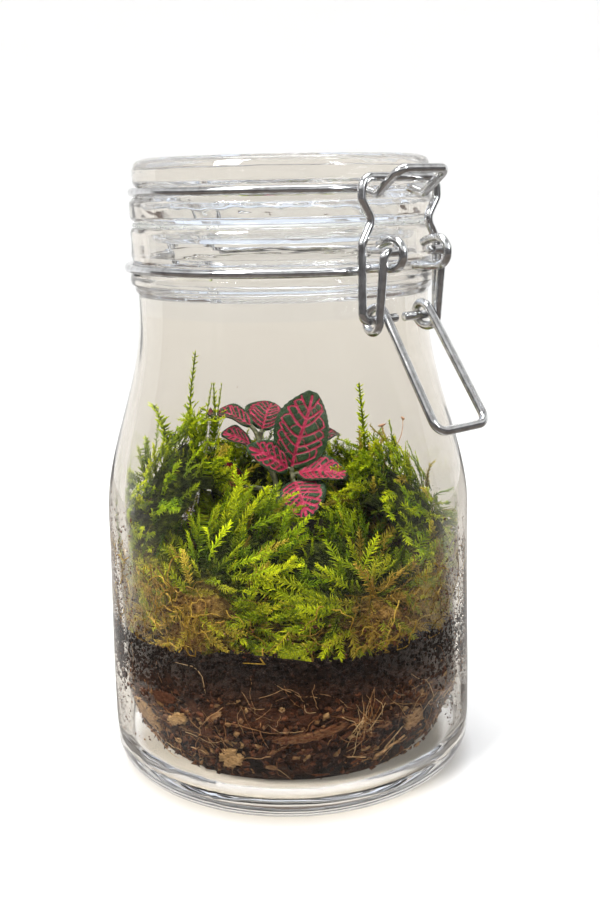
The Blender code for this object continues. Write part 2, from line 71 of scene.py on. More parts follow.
def polar(r, bearing, z):
    """Points from a radius, a bearing and a height, which may be arrays."""
    return np.stack(np.broadcast_arrays(r * np.cos(bearing), r * np.sin(bearing), z), -1)


def circle(steps):
    return 2 * math.pi * np.arange(steps) / steps


def toned(tone):
    """Data with one value per vertex in its first place."""
    tone = np.ravel(tone)
    return np.stack([tone, tone * 0, tone * 0], -1)


def field(points, scale, seed=0.0):
    """Smooth noise from -1 to 1 at each point."""
    p = np.asarray(points, float) * scale
    return np.array([noise.noise(Vector((x + seed, y - seed, z + 0.37 * seed)))
                     for x, y, z in p.reshape(-1, 3)]).reshape(p.shape[:-1])


class Shape:
    """Vertices, triangles, quads and three values per vertex, gathered in parts."""

    def __init__(self):
        self.verts, self.tris, self.quads, self.data = [], [], [], []
        self.count = 0

    def add(self, verts, tris=None, quads=None, data=(0.0, 0.0, 0.0)):
        verts = np.asarray(verts, float).reshape(-1, 3)
        self.verts.append(verts)
        for faces, kept in ((tris, self.tris), (quads, self.quads)):
            if faces is not None:
                kept.append(faces + self.count)
        self.data.append(np.broadcast_to(np.asarray(data, float), (len(verts), 3)))
        self.count += len(verts)
        return self

    def mesh(self, name, mat, smooth=True, sharp_deg=None):
        verts = np.concatenate(self.verts) * MM
        tris = np.concatenate([np.zeros((0, 3), np.int64)] + self.tris)
        quads = np.concatenate([np.zeros((0, 4), np.int64)] + self.quads)
        mesh = bpy.data.meshes.new(name)
        mesh.vertices.add(len(verts))
        mesh.vertices.foreach_set("co", verts.astype(np.float32).ravel())
        corners = np.concatenate([tris.ravel(), quads.ravel()]).astype(np.int32)
        mesh.loops.add(len(corners))
        mesh.loops.foreach_set("vertex_index", corners)
        starts = np.concatenate([np.arange(len(tris)) * 3,
                                 len(tris) * 3 + np.arange(len(quads)) * 4])
        mesh.polygons.add(len(starts))
        mesh.polygons.foreach_set("loop_start", starts.astype(np.int32))
        mesh.update(calc_edges=True)
        layer = mesh.attributes.new("tone", "FLOAT_VECTOR", "POINT")
        layer.data.foreach_set("vector", np.concatenate(self.data).astype(np.float32).ravel())
        if smooth:
            mesh.shade_smooth()
        if sharp_deg is not None:
            mesh.set_sharp_from_angle(angle=math.radians(sharp_deg))
        mesh.materials.append(mat)
        return mesh


def linked(name, data):
    """A new object in the scene."""
    obj = bpy.data.objects.new(name, data)
    bpy.context.scene.collection.objects.link(obj)
    return obj


def piece(name, shape, mat, stands_for=None, body="jar", smooth=True, sharp_deg=None):
    """A visible piece that rides a CAD body and may stand for a CAD node."""
    obj = linked(name, shape.mesh(name, mat, smooth, sharp_deg))
    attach(obj, body)
    if stands_for:
        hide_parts(stands_for)
    return obj


def grid_quads(rows, columns, wrap=False):
    """Quads over a grid of vertices in row order; wrap joins the last column to the first."""
    i, j = np.meshgrid(np.arange(rows - 1), np.arange(columns - (0 if wrap else 1)),
                       indexing="ij")
    k = (j + 1) % columns
    return np.stack([i * columns + j, i * columns + k, (i + 1) * columns + k,
                     (i + 1) * columns + j], -1).reshape(-1, 4)


def fan(centre, ring, steps, flip=False):
    """Triangles from a centre vertex to a ring that starts at the vertex numbered ring."""
    around = np.arange(steps)
    after = (around + 1) % steps
    first, second = (after, around) if flip else (around, after)
    return np.stack([np.full(steps, centre), ring + first, ring + second], -1)


def sheet_faces(rows, columns, flip=False):
    """Quads of a thin closed sheet: two grids of vertices and the rim between them."""
    quads, total = grid_quads(rows, columns), rows * columns
    rim = np.concatenate([np.arange(columns), np.arange(1, rows) * columns + columns - 1,
                          (rows - 1) * columns + np.arange(columns - 2, -1, -1),
                          np.arange(rows - 2, 0, -1) * columns])
    after = np.roll(rim, -1)
    side = np.stack([rim, rim + total, after + total, after], -1)
    if flip:
        return np.concatenate([quads[:, ::-1], quads + total, side[:, [0, 3, 2, 1]]])
    return np.concatenate([quads, quads[:, ::-1] + total, side])


def sweep(points, radii, sides=8):
    """A capped tube along points; returns its vertices, triangles and quads."""
    points = np.asarray(points, float)
    count = len(points)
    radii = np.broadcast_to(np.asarray(radii, float), (count,))
    tangents = unit(np.gradient(points, axis=0))
    normal = unit(np.cross(tangents[0], [0.31, 0.77, 0.56]))
    normals = [normal]
    for a, b in zip(tangents, tangents[1:]):
        axis = np.cross(a, b)
        size = np.linalg.norm(axis)
        if size > 1e-9:
            axis /= size
            angle = math.atan2(size, float(a @ b))
            normal = (normal * math.cos(angle) + np.cross(axis, normal) * math.sin(angle)
                      + axis * (axis @ normal) * (1 - math.cos(angle)))
        normals.append(normal)
    normals = np.array(normals)
    others = np.cross(tangents, normals)
    turn = circle(sides)[None, :, None]
    rings = (points[:, None] + radii[:, None, None]
             * (normals[:, None] * np.cos(turn) + others[:, None] * np.sin(turn)))
    verts = np.concatenate([rings.reshape(-1, 3), points[:1], points[-1:]])
    last = count * sides
    tris = np.concatenate([fan(last, 0, sides, flip=True),
                           fan(last + 1, last - sides, sides)])
    return verts, tris, grid_quads(count, sides, wrap=True)


def curved(points, steps):
    """A smooth line through a few points, as a Catmull-Rom curve."""
    p = np.asarray(points, float)
    p = np.concatenate([2 * p[:1] - p[1:2], p, 2 * p[-1:] - p[-2:-1]])
    t = (np.arange(steps) / steps)[:, None]
    line = [0.5 * (2 * b + (c - a) * t + (2 * a - 5 * b + 4 * c - d) * t ** 2
                   + (3 * b - a - 3 * c + d) * t ** 3)
            for a, b, c, d in zip(p, p[1:], p[2:], p[3:])]
    return np.concatenate(line + [p[-2:-1]])


def turned(outline, steps, wave=None):
    """A turned body from an outline that starts and ends on the axis, or a closed ring."""
    outline = np.asarray(outline, float)
    closed = outline[0, 0] > 1e-6
    rim = outline if closed else outline[1:-1]
    r = np.repeat(rim[:, :1], steps, 1)
    z = np.repeat(rim[:, 1:], steps, 1)
    turn = np.broadcast_to(circle(steps), r.shape)
    if wave is not None:
        r, z = wave(r, z, turn)
    verts = polar(r, turn, z).reshape(-1, 3)
    quads = grid_quads(len(rim), steps, wrap=True)
    total = len(verts)
    if closed:
        around = np.arange(steps)
        after, ring = (around + 1) % steps, total - steps
        last = np.stack([ring + around, ring + after, after, around], -1)
        return Shape().add(verts, None, np.concatenate([quads, last]))
    verts = np.concatenate([verts, [[0, 0, outline[0, 1]], [0, 0, outline[-1, 1]]]])
    tris = np.concatenate([fan(total, 0, steps, flip=True),
                           fan(total + 1, total - steps, steps)])
    return Shape().add(verts, tris, quads)


def arc(centre, radius, start_deg, end_deg, steps):
    """Points along part of a circle in an outline's plane."""
    a = np.radians(np.linspace(start_deg, end_deg, steps + 1))
    return np.stack([centre[0] + radius * np.cos(a), centre[1] + radius * np.sin(a)], -1)


def rounded(corners, radii, steps=4):
    """An outline of straight runs whose corners are arcs of the given radii."""
    corners = np.asarray(corners, float)
    line = [corners[:1]]
    for before, corner, after, bend in zip(corners, corners[1:], corners[2:], radii):
        into, out = unit(corner - before), unit(after - corner)
        turn = math.acos(float(np.clip(into @ out, -1, 1)))
        if bend <= 0 or turn < 0.03:
            line.append(corner[None])
            continue
        cut = min(bend * math.tan(turn / 2), 0.48 * np.linalg.norm(corner - before),
                  0.48 * np.linalg.norm(after - corner))
        t = np.linspace(0, 1, steps + 1)[:, None]
        a, b = corner - into * cut, corner + out * cut
        line.append((1 - t) ** 2 * a + 2 * t * (1 - t) * corner + t ** 2 * b)
    line.append(corners[-1:])
    return np.concatenate(line)


def refined(outline, longest):
    """The same outline with its long runs cut into shorter ones."""
    line = [outline[:1]]
    for a, b in zip(outline, outline[1:]):
        cuts = max(int(math.ceil(np.linalg.norm(b - a) / longest)), 1)
        t = (np.arange(1, cuts + 1) / cuts)[:, None]
        line.append(a + (b - a) * t)
    return np.concatenate(line)


# ---------------------------------------------------------------- materials
class Nodes:
    """Short names for building one material's node tree."""

    def __init__(self, name):
        self.mat = bpy.data.materials.new(name)
        self.mat.use_nodes = True
        self.tree = self.mat.node_tree
        self.shader = self.tree.nodes["Principled BSDF"]

    def new(self, kind, **settings):
        node = self.tree.nodes.new("ShaderNode" + kind)
        for key, value in settings.items():
            setattr(node, key, value)
        return node

    def link(self, out, into):
        self.tree.links.new(out, into)

    def feed(self, socket, value):
        """Give a socket another node's output, a number or a colour."""
        if hasattr(value, "links"):
            self.link(value, socket)
        elif isinstance(value, (int, float)):
            socket.default_value = value
        else:
            socket.default_value = (*value, 1.0)

    def set(self, **values):
        for key, value in values.items():
            self.shader.inputs[key.replace("_", " ")].default_value = value

    def place(self, stretch=(1, 1, 1)):
        coords = self.new("TexCoord")
        mapping = self.new("Mapping")
        mapping.inputs["Scale"].default_value = stretch
        self.link(coords.outputs["Object"], mapping.inputs["Vector"])
        return mapping.outputs["Vector"]

    def noise(self, scale, detail=3.0, rough=0.55, place=None):
        node = self.new("TexNoise")
        node.inputs["Scale"].default_value = scale
        node.inputs["Detail"].default_value = detail
        node.inputs["Roughness"].default_value = rough
        self.link(place or self.place(), node.inputs["Vector"])
        return node.outputs["Fac"]

    def cells(self, scale):
        node = self.new("TexVoronoi")
        node.inputs["Scale"].default_value = scale
        self.link(self.place(), node.inputs["Vector"])
        return node.outputs["Distance"]

    def ramp(self, value, stops):
        node = self.new("ValToRGB")
        ramp = node.color_ramp
        while len(ramp.elements) < len(stops):
            ramp.elements.new(0.5)
        for element, (spot, colour) in zip(ramp.elements, stops):
            element.position = spot
            element.color = (*colour, 1.0)
        self.link(value, node.inputs["Fac"])
        return node.outputs["Color"]

    def mix(self, factor, a, b, blend="MIX"):
        node = self.new("Mix", data_type="RGBA", blend_type=blend)
        for socket, value in ((0, factor), (6, a), (7, b)):
            self.feed(node.inputs[socket], value)
        return node.outputs[2]

    def span(self, value, low, high, to_low=0.0, to_high=1.0):
        node = self.new("MapRange")
        self.link(value, node.inputs["Value"])
        for key, number in (("From Min", low), ("From Max", high), ("To Min", to_low),
                            ("To Max", to_high)):
            node.inputs[key].default_value = number
        return node.outputs["Result"]

    def math(self, kind, a, b):
        node = self.new("Math", operation=kind)
        self.feed(node.inputs[0], a)
        self.feed(node.inputs[1], b)
        return node.outputs[0]

    def tone(self):
        """The three values kept on the mesh's vertices."""
        node = self.new("Attribute", attribute_name="tone")
        split = self.new("SeparateXYZ")
        self.link(node.outputs["Vector"], split.inputs[0])
        return split.outputs

    def bump(self, height, strength, distance_mm):
        node = self.new("Bump")
        node.inputs["Strength"].default_value = strength
        node.inputs["Distance"].default_value = distance_mm * MM
        self.link(height, node.inputs["Height"])
        self.link(node.outputs["Normal"], self.shader.inputs["Normal"])

    def colour(self, value):
        self.feed(self.shader.inputs["Base Color"], value)

    def roughness(self, value):
        self.feed(self.shader.inputs["Roughness"], value)


def glass_material(name, clear, film, ripple, grain, shine):
    """Pressed glass: faint film and smears on it, and a slow ripple in its surface."""
    n = Nodes(name)
    n.set(Transmission_Weight=1.0, IOR=1.5, Specular_Tint=shine)
    streaks = n.noise(30, 3, 0.6, n.place((1, 1, 0.35)))
    n.colour(n.mix(n.span(streaks, 0.35, 0.7), clear, film))
    n.roughness(n.span(n.noise(55, 4, 0.65), 0.5, 0.8, 0.0, 0.05))
    n.bump(n.noise(70, 2, 0.5, n.place(grain)), ripple, 0.25)
    return n.mat


def silicone_material():
    n = Nodes("clear_silicone")
    n.set(Transmission_Weight=0.95, IOR=1.41)
    n.colour(n.mix(n.noise(160, 3), (0.66, 0.67, 0.64), (0.80, 0.81, 0.79)))
    n.roughness(n.span(n.noise(220, 3), 0.3, 0.7, 0.22, 0.42))
    n.bump(n.noise(900, 2), 0.15, 0.05)
    return n.mat


def steel_material():
    """Plated wire: bright, with drawing lines, dull patches and a few dark specks."""
    n = Nodes("bright_wire")
    n.set(Metallic=1.0)
    wear = n.noise(420, 5, 0.65)
    specks = n.cells(900)
    shade = n.ramp(wear, [(0.30, (0.40, 0.39, 0.39)), (0.55, (0.66, 0.67, 0.68)),
                          (0.75, (0.80, 0.81, 0.83))])
    n.colour(n.mix(n.span(specks, 0.02, 0.10), (0.22, 0.18, 0.15), shade))
    n.roughness(n.span(n.noise(260, 4, 0.7), 0.3, 0.75, 0.07, 0.26))
    n.bump(n.noise(1500, 3, 0.6), 0.10, 0.04)
    return n.mat


def peat_material():
    """Damp peat: near black, with red-brown fibres and pale grains."""
    n = Nodes("damp_peat")
    tone = n.tone()
    grain = n.noise(900, 5, 0.7)
    fibres = n.noise(600, 4, 0.65, n.place((1, 1, 3.5)))
    dark = n.ramp(grain, [(0.30, (0.002, 0.0015, 0.001)), (0.52, (0.006, 0.004, 0.003)),
                          (0.72, (0.030, 0.017, 0.010))])
    red = n.ramp(fibres, [(0.35, (0.008, 0.004, 0.002)), (0.60, (0.040, 0.015, 0.007)),
                          (0.80, (0.15, 0.070, 0.032))])
    n.colour(n.mix(tone[0], dark, red))
    n.roughness(n.span(n.noise(700, 3), 0.3, 0.7, 0.45, 0.95))
    n.set(Specular_IOR_Level=0.10)
    n.bump(grain, 0.8, 0.5)
    return n.mat


def litter_material(name, deep, mid, pale):
    """Bark, dead leaf or root: a tone per piece, grain along it and broken pale fibres."""
    n = Nodes(name)
    tone = n.tone()
    grain = n.noise(700, 5, 0.7, n.place((1, 1, 2.4)))
    base = n.ramp(tone[0], [(0.0, deep), (0.5, mid), (1.0, pale)])
    dark = n.mix(1.0, base, (0.30, 0.26, 0.24), "MULTIPLY")
    streak = n.mix(n.span(grain, 0.32, 0.62), dark, base)
    n.colour(n.mix(n.math("MULTIPLY", n.span(n.noise(1500, 4, 0.7), 0.58, 0.75), 0.22),
                   streak, pale))
    n.roughness(n.span(grain, 0.3, 0.7, 0.95, 0.62))
    n.set(Specular_IOR_Level=0.14)
    n.bump(grain, 0.7, 0.4)
    return n.mat


def moss_material():
    """Moss: old stems brown, blades from deep green to yellow-green tips, wet glints."""
    n = Nodes("living_moss")
    tone = n.tone()
    green = n.ramp(tone[0], [(0.0, (0.004, 0.010, 0.0003)), (0.35, (0.030, 0.066, 0.0006)),
                             (0.75, (0.150, 0.235, 0.0012)), (1.0, (0.42, 0.50, 0.003))])
    lime = n.ramp(tone[0], [(0.0, (0.009, 0.012, 0.0003)), (0.35, (0.072, 0.088, 0.0007)),
                            (0.75, (0.255, 0.275, 0.002)), (1.0, (0.53, 0.53, 0.006))])
    brown = n.ramp(tone[0], [(0.0, (0.026, 0.013, 0.002)), (0.5, (0.18, 0.096, 0.013)),
                             (1.0, (0.43, 0.27, 0.038))])
    live = n.mix(tone[1], green, lime)
    speck = n.noise(1400, 4, 0.7)
    old = n.mix(tone[2], live, brown)
    shade = n.mix(1.0, old, (0.48, 0.55, 0.42), "MULTIPLY")
    n.colour(n.mix(n.span(speck, 0.34, 0.60), shade, old))
    n.roughness(n.span(n.noise(900, 3), 0.3, 0.7, 0.35, 0.8))
    n.set(Specular_IOR_Level=0.06)
    n.bump(speck, 0.5, 0.2)
    return n.mat


def moss_core_material():
    """The matted inside of the moss: dead sheaths, and dark stems painted near black as the
    shade deep in the clump.
    """
    n = Nodes("moss_core")
    tone = n.tone()
    strands = n.noise(480, 5, 0.7, n.place((1, 1, 2.2)))
    # painted shade: the live strands go near black, for the shade inside the clump
    live = n.ramp(strands, [(0.38, (0.002, 0.003, 0.001)), (0.52, (0.010, 0.014, 0.001)),
                            (0.66, (0.050, 0.060, 0.003))])
    dead = n.ramp(strands, [(0.34, (0.016, 0.008, 0.003)), (0.50, (0.12, 0.060, 0.014)),
                            (0.62, (0.25, 0.145, 0.036)), (0.76, (0.38, 0.26, 0.085))])
    n.colour(n.mix(tone[2], live, dead))
    n.roughness(n.span(strands, 0.3, 0.7, 0.95, 0.7))
    n.set(Specular_IOR_Level=0.08)
    n.bump(strands, 1.0, 0.8)
    return n.mat


def leaf_material():
    """Fittonia: deep green between pink-red veins, paler and redder underneath."""
    n = Nodes("fittonia_leaf")
    tone = n.tone()
    mottle = n.noise(800, 4, 0.65)
    green = n.ramp(mottle, [(0.30, (0.005, 0.013, 0.005)), (0.55, (0.012, 0.028, 0.009)),
                            (0.80, (0.032, 0.060, 0.018))])
    pink = n.ramp(n.noise(650, 4, 0.6), [(0.30, (0.105, 0.004, 0.014)),
                                         (0.52, (0.20, 0.011, 0.034)),
                                         (0.74, (0.33, 0.040, 0.080))])
    ragged = n.math("ADD", tone[0], n.span(n.noise(1300, 4, 0.7), 0.25, 0.75, -0.16, 0.16))
    face = n.mix(n.span(ragged, 0.36, 0.56), green, pink)
    under = n.mix(n.span(ragged, 0.36, 0.62), (0.060, 0.045, 0.030), (0.33, 0.075, 0.085))
    n.colour(n.mix(tone[1], face, under))
    n.roughness(n.span(mottle, 0.3, 0.7, 0.36, 0.58))
    n.set(Specular_IOR_Level=0.14)
    n.bump(n.cells(1800), 0.35, 0.12)
    return n.mat


def stem_material(name, deep, pale):
    n = Nodes(name)
    along = n.noise(900, 4, 0.65, n.place((1, 1, 0.4)))
    n.colour(n.ramp(along, [(0.3, deep), (0.7, pale)]))
    n.roughness(n.span(along, 0.3, 0.7, 0.8, 0.5))
    n.bump(along, 0.5, 0.15)
    return n.mat


def stage_material():
    """White paper, with a painted shadow under the jar: a dull beige disc that shows through
    its base.
    """
    n = Nodes("paper_with_painted_shadow")
    paper = n.mix(n.noise(3, 2), (0.86, 0.86, 0.86), (0.89, 0.89, 0.89))
    ring = n.new("VectorMath", operation="LENGTH")
    n.link(n.place((1, 1, 0)), ring.inputs[0])
    # painted shadow: the paper turns dull beige within 47 to 58 mm of the jar's axis,
    # standing in for the shade the jar casts
    under = n.span(ring.outputs["Value"], 47 * MM, 58 * MM)
    n.colour(n.mix(under, (0.36, 0.325, 0.27), paper))
    n.roughness(n.span(n.noise(40, 3), 0.3, 0.7, 0.75, 0.9))
    return n.mat


# ---------------------------------------------------------------- glass
BODY_R, BODY_TOP_R, NECK_R = 55.9, 55.2, 43.1
HEEL_R = 10.5
SHOULDER_LOW_Z, SHOULDER_HIGH_Z = 80.0, 140.0
BEAD_R, BAND_R = 45.2, 44.6
RIM_Z, MOUTH_R = 165.4, 40.2
WALL, FLOOR_Z = 3.1, 6.3
INNER_CORNER = 9.0           # rounding inside, between wall and floor
LID_TOP_Z, NECK_LOW_Z = 184.7, 141.0
AROUND = 288                 # points round the jar and the lid
OUTER_WAVE, INNER_WAVE = 0.05, 0.16    # how uneven the glass is outside and inside
INNER_FROM = 1.4                       # deeper in the wall than this is its inside
SEAM_BEARING = PLANTING_TURN - math.radians(90.0 + 24.0)  # one of the two mould joins
SEAM_R, SEAM_HALF_WIDTH, SEAM_HEIGHT = 50.0, 0.55, 0.16


def wall_radius(z):
    """Outside radius of the jar between its heel and the top of its neck."""
    z = np.asarray(z, float)
    low = BODY_R - (BODY_R - BODY_TOP_R) * smooth_step((z - 25.0) / (SHOULDER_LOW_Z - 25.0))
    span = SHOULDER_HIGH_Z - SHOULDER_LOW_Z
    high = NECK_R + (BODY_TOP_R - NECK_R) * smooth_step((SHOULDER_HIGH_Z - z) / span)
    return np.where(z <= SHOULDER_LOW_Z, low, high)


def inner_radius(z):
    """Inside radius of the jar, with the round corner over its floor."""
    z = np.asarray(z, float)
    lift = np.clip((FLOOR_Z + INNER_CORNER - z) / INNER_CORNER, 0.0, 1.0)
    return wall_radius(z) - WALL - INNER_CORNER * (1 - np.sqrt(1 - lift ** 2))


def glass_wave(r, z, turn):
    """Slow unevenness of pressed glass, more on the inside, and the two mould seams."""
    slow = (np.sin(5 * turn + 0.06 * z) + 0.7 * np.sin(9 * turn - 0.045 * z + 1.3)
            + 0.6 * np.sin(14 * turn + 0.09 * z + 0.4))
    fine = np.sin(0.33 * z + 2 * np.sin(3 * turn)) * 0.5 + np.sin(23 * turn + 0.1 * z)
    inner = (r < wall_radius(np.clip(z, 25, 140)) - INNER_FROM) & (z > FLOOR_Z - 0.5)
    size = np.where(inner, INNER_WAVE, OUTER_WAVE)
    fade = smooth_step(r / 30.0) * np.where(z < 0.6, 0.0, 1.0)
    r = r + size * fade * (0.55 * slow + 0.3 * fine)
    apart = np.abs((turn - SEAM_BEARING + math.pi / 2) % math.pi - math.pi / 2)
    seam = np.exp(-(apart * SEAM_R / SEAM_HALF_WIDTH) ** 2)
    return r + np.where(inner | (z < 6) | (z > 150), 0.0, SEAM_HEIGHT) * seam, z


def jar_outline():
    """Half the jar's section: out along the base, up the outside and back down inside."""
    heel = (BODY_R - HEEL_R, HEEL_R)
    base = rounded([(0, 2.2), (30, 1.8), (37, 0.7), (40.5, 0.0), (heel[0], 0.0)],
                   [6, 3, 2], 5)
    walls = np.arange(14.0, NECK_LOW_Z, 3.0)
    outside = [refined(base, 2.5), arc(heel, HEEL_R, -84, 0, 14)]
    outside.append(np.stack([wall_radius(walls), walls], -1))
    neck = rounded([(NECK_R, NECK_LOW_Z), (NECK_R, 146.2), (NECK_R + 0.7, 147.3),
                    (NECK_R + 0.9, 148.6), (BEAD_R - 0.2, 149.4), (BEAD_R, 150.8),
                    (BEAD_R - 0.3, 152.0), (43.9, 152.8), (43.9, 155.6),
                    (BAND_R - 0.3, 156.2), (BAND_R, 157.4), (BAND_R - 0.15, 161.0),
                    (BAND_R, 164.2), (BAND_R - 0.6, RIM_Z), (MOUTH_R + 0.9, RIM_Z),
                    (MOUTH_R, RIM_Z - 1.1), (MOUTH_R - 0.2, 150.0),
                    (MOUTH_R - 0.25, NECK_LOW_Z)],
                   [1.5, 1.2, 0.8, 1.0, 1.4, 1.2, 1.0, 0.8, 0.8, 1.2, 2.0, 1.2, 0.8,
                    0.8, 1.0, 6.0])
    outside.append(refined(neck, 1.6))
    corner = (BODY_R - WALL - INNER_CORNER, FLOOR_Z + INNER_CORNER)
    back = walls[walls > corner[1]][::-1]
    inside = [np.stack([wall_radius(back) - WALL, back], -1)]
    inside.append(arc(corner, INNER_CORNER, 0, -90, 12))
    inside.append(refined(np.array([(corner[0], FLOOR_Z), (0.0, FLOOR_Z + 0.9)]), 3.0)[1:])
    return np.concatenate(outside + inside)


def lid_outline():
    """Half the lid's section: from under its middle, round the lip and flange, to its top."""
    corners = [(0, 177.4), (29.5, 177.0), (33.2, 174.8), (34.4, 171.0), (34.8, 161.5),
               (37.6, 161.5), (38.6, 162.8), (38.7, 166.9), (43.2, 166.9), (BAND_R, 168.0),
               (BAND_R, 172.6), (43.4, 173.9), (42.2, 174.3), (42.1, 176.4), (43.0, 177.2),
               (43.5, 178.2), (43.5, 181.6), (42.6, 183.9), (40.2, LID_TOP_Z),
               (36.0, LID_TOP_Z), (34.6, 184.1), (0, 183.9)]
    radii = [4, 3, 3, 1.2, 1.0, 0.8, 0.8, 0.6, 1.3, 1.3, 0.6, 0.5, 0.8, 0.6, 1.0, 2.5,
             2.2, 2.0, 0.8, 0.8]
    return refined(rounded(corners, radii, 4), 1.6)


GASKET_CORNERS = [(39.8, 165.75), (43.8, 165.7), (44.1, 166.1), (43.8, 166.5),
                  (39.8, 166.45), (39.5, 166.1)]


def build_glass(jar_glass, lid_glass, silicone):
    """The glass and its seal; they cast no shadow, so that light reaches the plants."""
    jar = piece("jar_glass", turned(jar_outline(), AROUND, glass_wave), jar_glass,
                "jar_body")
    jar.data.materials.append(lid_glass)    # the thick neck looks like the lid
    for face in jar.data.polygons:
        if face.center.z > NECK_LOW_Z * MM:
            face.material_index = 1
    lid = piece("lid_glass", turned(lid_outline(), AROUND, lid_wave), lid_glass,
                "lid", "lid_assembly")
    seal = piece("gasket_ring", turned(GASKET_CORNERS, 192), silicone,
                 "gasket", "lid_assembly")
    for obj in (jar, lid, seal):
        obj.visible_shadow = False


def lid_wave(r, z, turn):
    """Unevenness round the lid's side and under its top."""
    slow = np.sin(4 * turn + 0.5 * z) + 0.6 * np.sin(11 * turn + 0.9 * z + 0.8)
    fine = np.sin(31 * turn + 1.1 * z) * 0.4
    size = np.where(r > 41.5, 0.035, 0.10) * smooth_step(r / 20.0)
    lift = np.where((z > 183.0) | (z < 166), 0.0, 0.04) * slow * smooth_step(r / 34.0)
    return r + size * (slow + fine) - np.where(r > 41.5, 0.06, 0.0), z + lift * (r < 41)


# ---------------------------------------------------------------- wire fittings
WIRE_R = 1.2
# the rounding of a cut end: places along the wire, and how much thinner it is there
CUT_AT, CUT_THIN = np.array([0.0, 0.10, 0.28]), np.array([0.18, 0.06, 0.0])
# places on the wires' right halves: X on its own, or (how far out from the axis, height)
NECK_WIRE_Z, NECK_WIRE_R = 154.0, 45.5
GROOVE_Z, LID_WIRE_R = 175.4, 43.6
LEVER_PIVOT, LINK_PIVOT = (53.5, 159.0), (48.4, 141.2)
LINK_BAR_Z, LINK_LEG_X, LINK_PINCH_X, LINK_PINCH_Z = 178.2, 14.2, 10.4, 167.2
LINK_PIN_END_X, ARM_X, HOOK_END_X = 1.5, 11.1, 5.5
COIL_R, HANDLE_TOP_X, HANDLE_END, HANDLE_END_X = 3.2, 8.5, (71.1, 114.0), 9.7
EYE_X, EYE_CENTRE, EYE_R = 8.4, (54.0, 158.5), 3.7
NOSE_X, NOSE_DIP, NOSE_TOP = 8.8, (48.6, 173.8), (57.0, 180.2)
HINGE, HINGE_BAR_X, CURL_X, CURL_R = (51.0, 161.0), 11.0, 7.0, 2.75


def bent(points, radii, steps=10):
    """A wire's centreline: straight runs between the points, each bend an arc."""
    points = [np.asarray(p, float) for p in points]
    if not isinstance(radii, (list, tuple)):
        radii = [radii] * (len(points) - 2)
    line = [points[0]]
    for before, corner, after, bend in zip(points, points[1:], points[2:], radii):
        into, out = unit(corner - before), unit(after - corner)
        turn = math.acos(float(np.clip(into @ out, -1, 1)))
        if turn < math.radians(2):
            line.append(corner)
            continue
        start = corner - into * bend * math.tan(turn / 2)
        centre = corner + unit(out - into) * (bend / math.cos(turn / 2))
        axis, arm = unit(np.cross(into, out)), start - centre
        for i in range(steps + 1):
            angle = turn * i / steps
            line.append(centre + arm * math.cos(angle) + np.cross(axis, arm)
                        * math.sin(angle))
    line.append(points[-1])
    return line


def ring_run(radius, height, start_x, end_x, end_side, steps):
    """Round the jar's right side from the front, at start_x, to the front or the back."""
    start = -math.acos(start_x / radius)
    end = end_side * math.acos(end_x / radius)
    return [np.array((radius * math.cos(a), radius * math.sin(a), height))
            for a in np.linspace(start, end, steps + 1)]


def whole(half):
    """A wire from its right half, which ends on the jar's middle plane."""
    half = [np.asarray(p, float) for p in half[:-1]]
    return np.array(half + [p * (-1, 1, 1) for p in reversed(half)])


def neck_ring_line():
    """The wire round the neck: front eye, round the side, and the hinge bar behind."""
    eye_r, eye_z = EYE_CENTRE
    low_z = eye_z - EYE_R
    eye = [(EYE_X, -48.6, eye_z + 2.2), (EYE_X, -50.6, eye_z + 3.0)]
    eye += [(EYE_X, -(eye_r + EYE_R * math.cos(a)), eye_z + EYE_R * math.sin(a))
            for a in np.radians(np.linspace(100, -90, 28))]
    leave_y = -math.sqrt(NECK_WIRE_R ** 2 - EYE_X ** 2)
    side = ring_run(NECK_WIRE_R, NECK_WIRE_Z, 12.5, 14.5, 1, 96)
    into = bent([eye[-1], (EYE_X, leave_y - 0.4, low_z - 0.2), side[0]], 1.8)
    back_y = math.sqrt(NECK_WIRE_R ** 2 - HINGE_BAR_X ** 2)
    back = bent([side[-1], (HINGE_BAR_X + 0.2, back_y + 0.3, NECK_WIRE_Z),
                 (HINGE_BAR_X, HINGE[0], NECK_WIRE_Z + 1.5),
                 (HINGE_BAR_X, *HINGE), (0, *HINGE)], [1.6, 2.6, 2.4])
    return whole(eye[:-1] + into[:-1] + side[:-1] + back)


def lid_ring_line():
    """The wire in the lid's groove: hinge curl, round the side, and the raised nose."""
    hinge_y, hinge_z = HINGE
    curl = [(CURL_X, hinge_y + CURL_R * math.cos(a), hinge_z + CURL_R * math.sin(a))
            for a in np.radians(np.linspace(80, -180, 36))]
    groove_y = math.sqrt(LID_WIRE_R ** 2 - CURL_X ** 2)
    near_x = CURL_X + 4.5
    side = ring_run(LID_WIRE_R, GROOVE_Z, near_x, near_x, 1, 96)[::-1]
    leg = bent([curl[-1], (CURL_X, hinge_y - CURL_R, GROOVE_Z - 0.4),
                (CURL_X + 0.1, groove_y + 0.3, GROOVE_Z), side[0]], [2.2, 1.2])
    nose_y = -math.sqrt(LID_WIRE_R ** 2 - NOSE_X ** 2)
    nose = bent([side[-1], (NOSE_X, nose_y - 0.2, GROOVE_Z),
                 (NOSE_X, -NOSE_DIP[0], NOSE_DIP[1]), (NOSE_X, -NOSE_TOP[0], NOSE_TOP[1]),
                 (0, -NOSE_TOP[0], NOSE_TOP[1])], [1.6, 1.8, 2.6])
    return whole(curl[:-1] + leg[:-1] + side[1:-1] + nose)


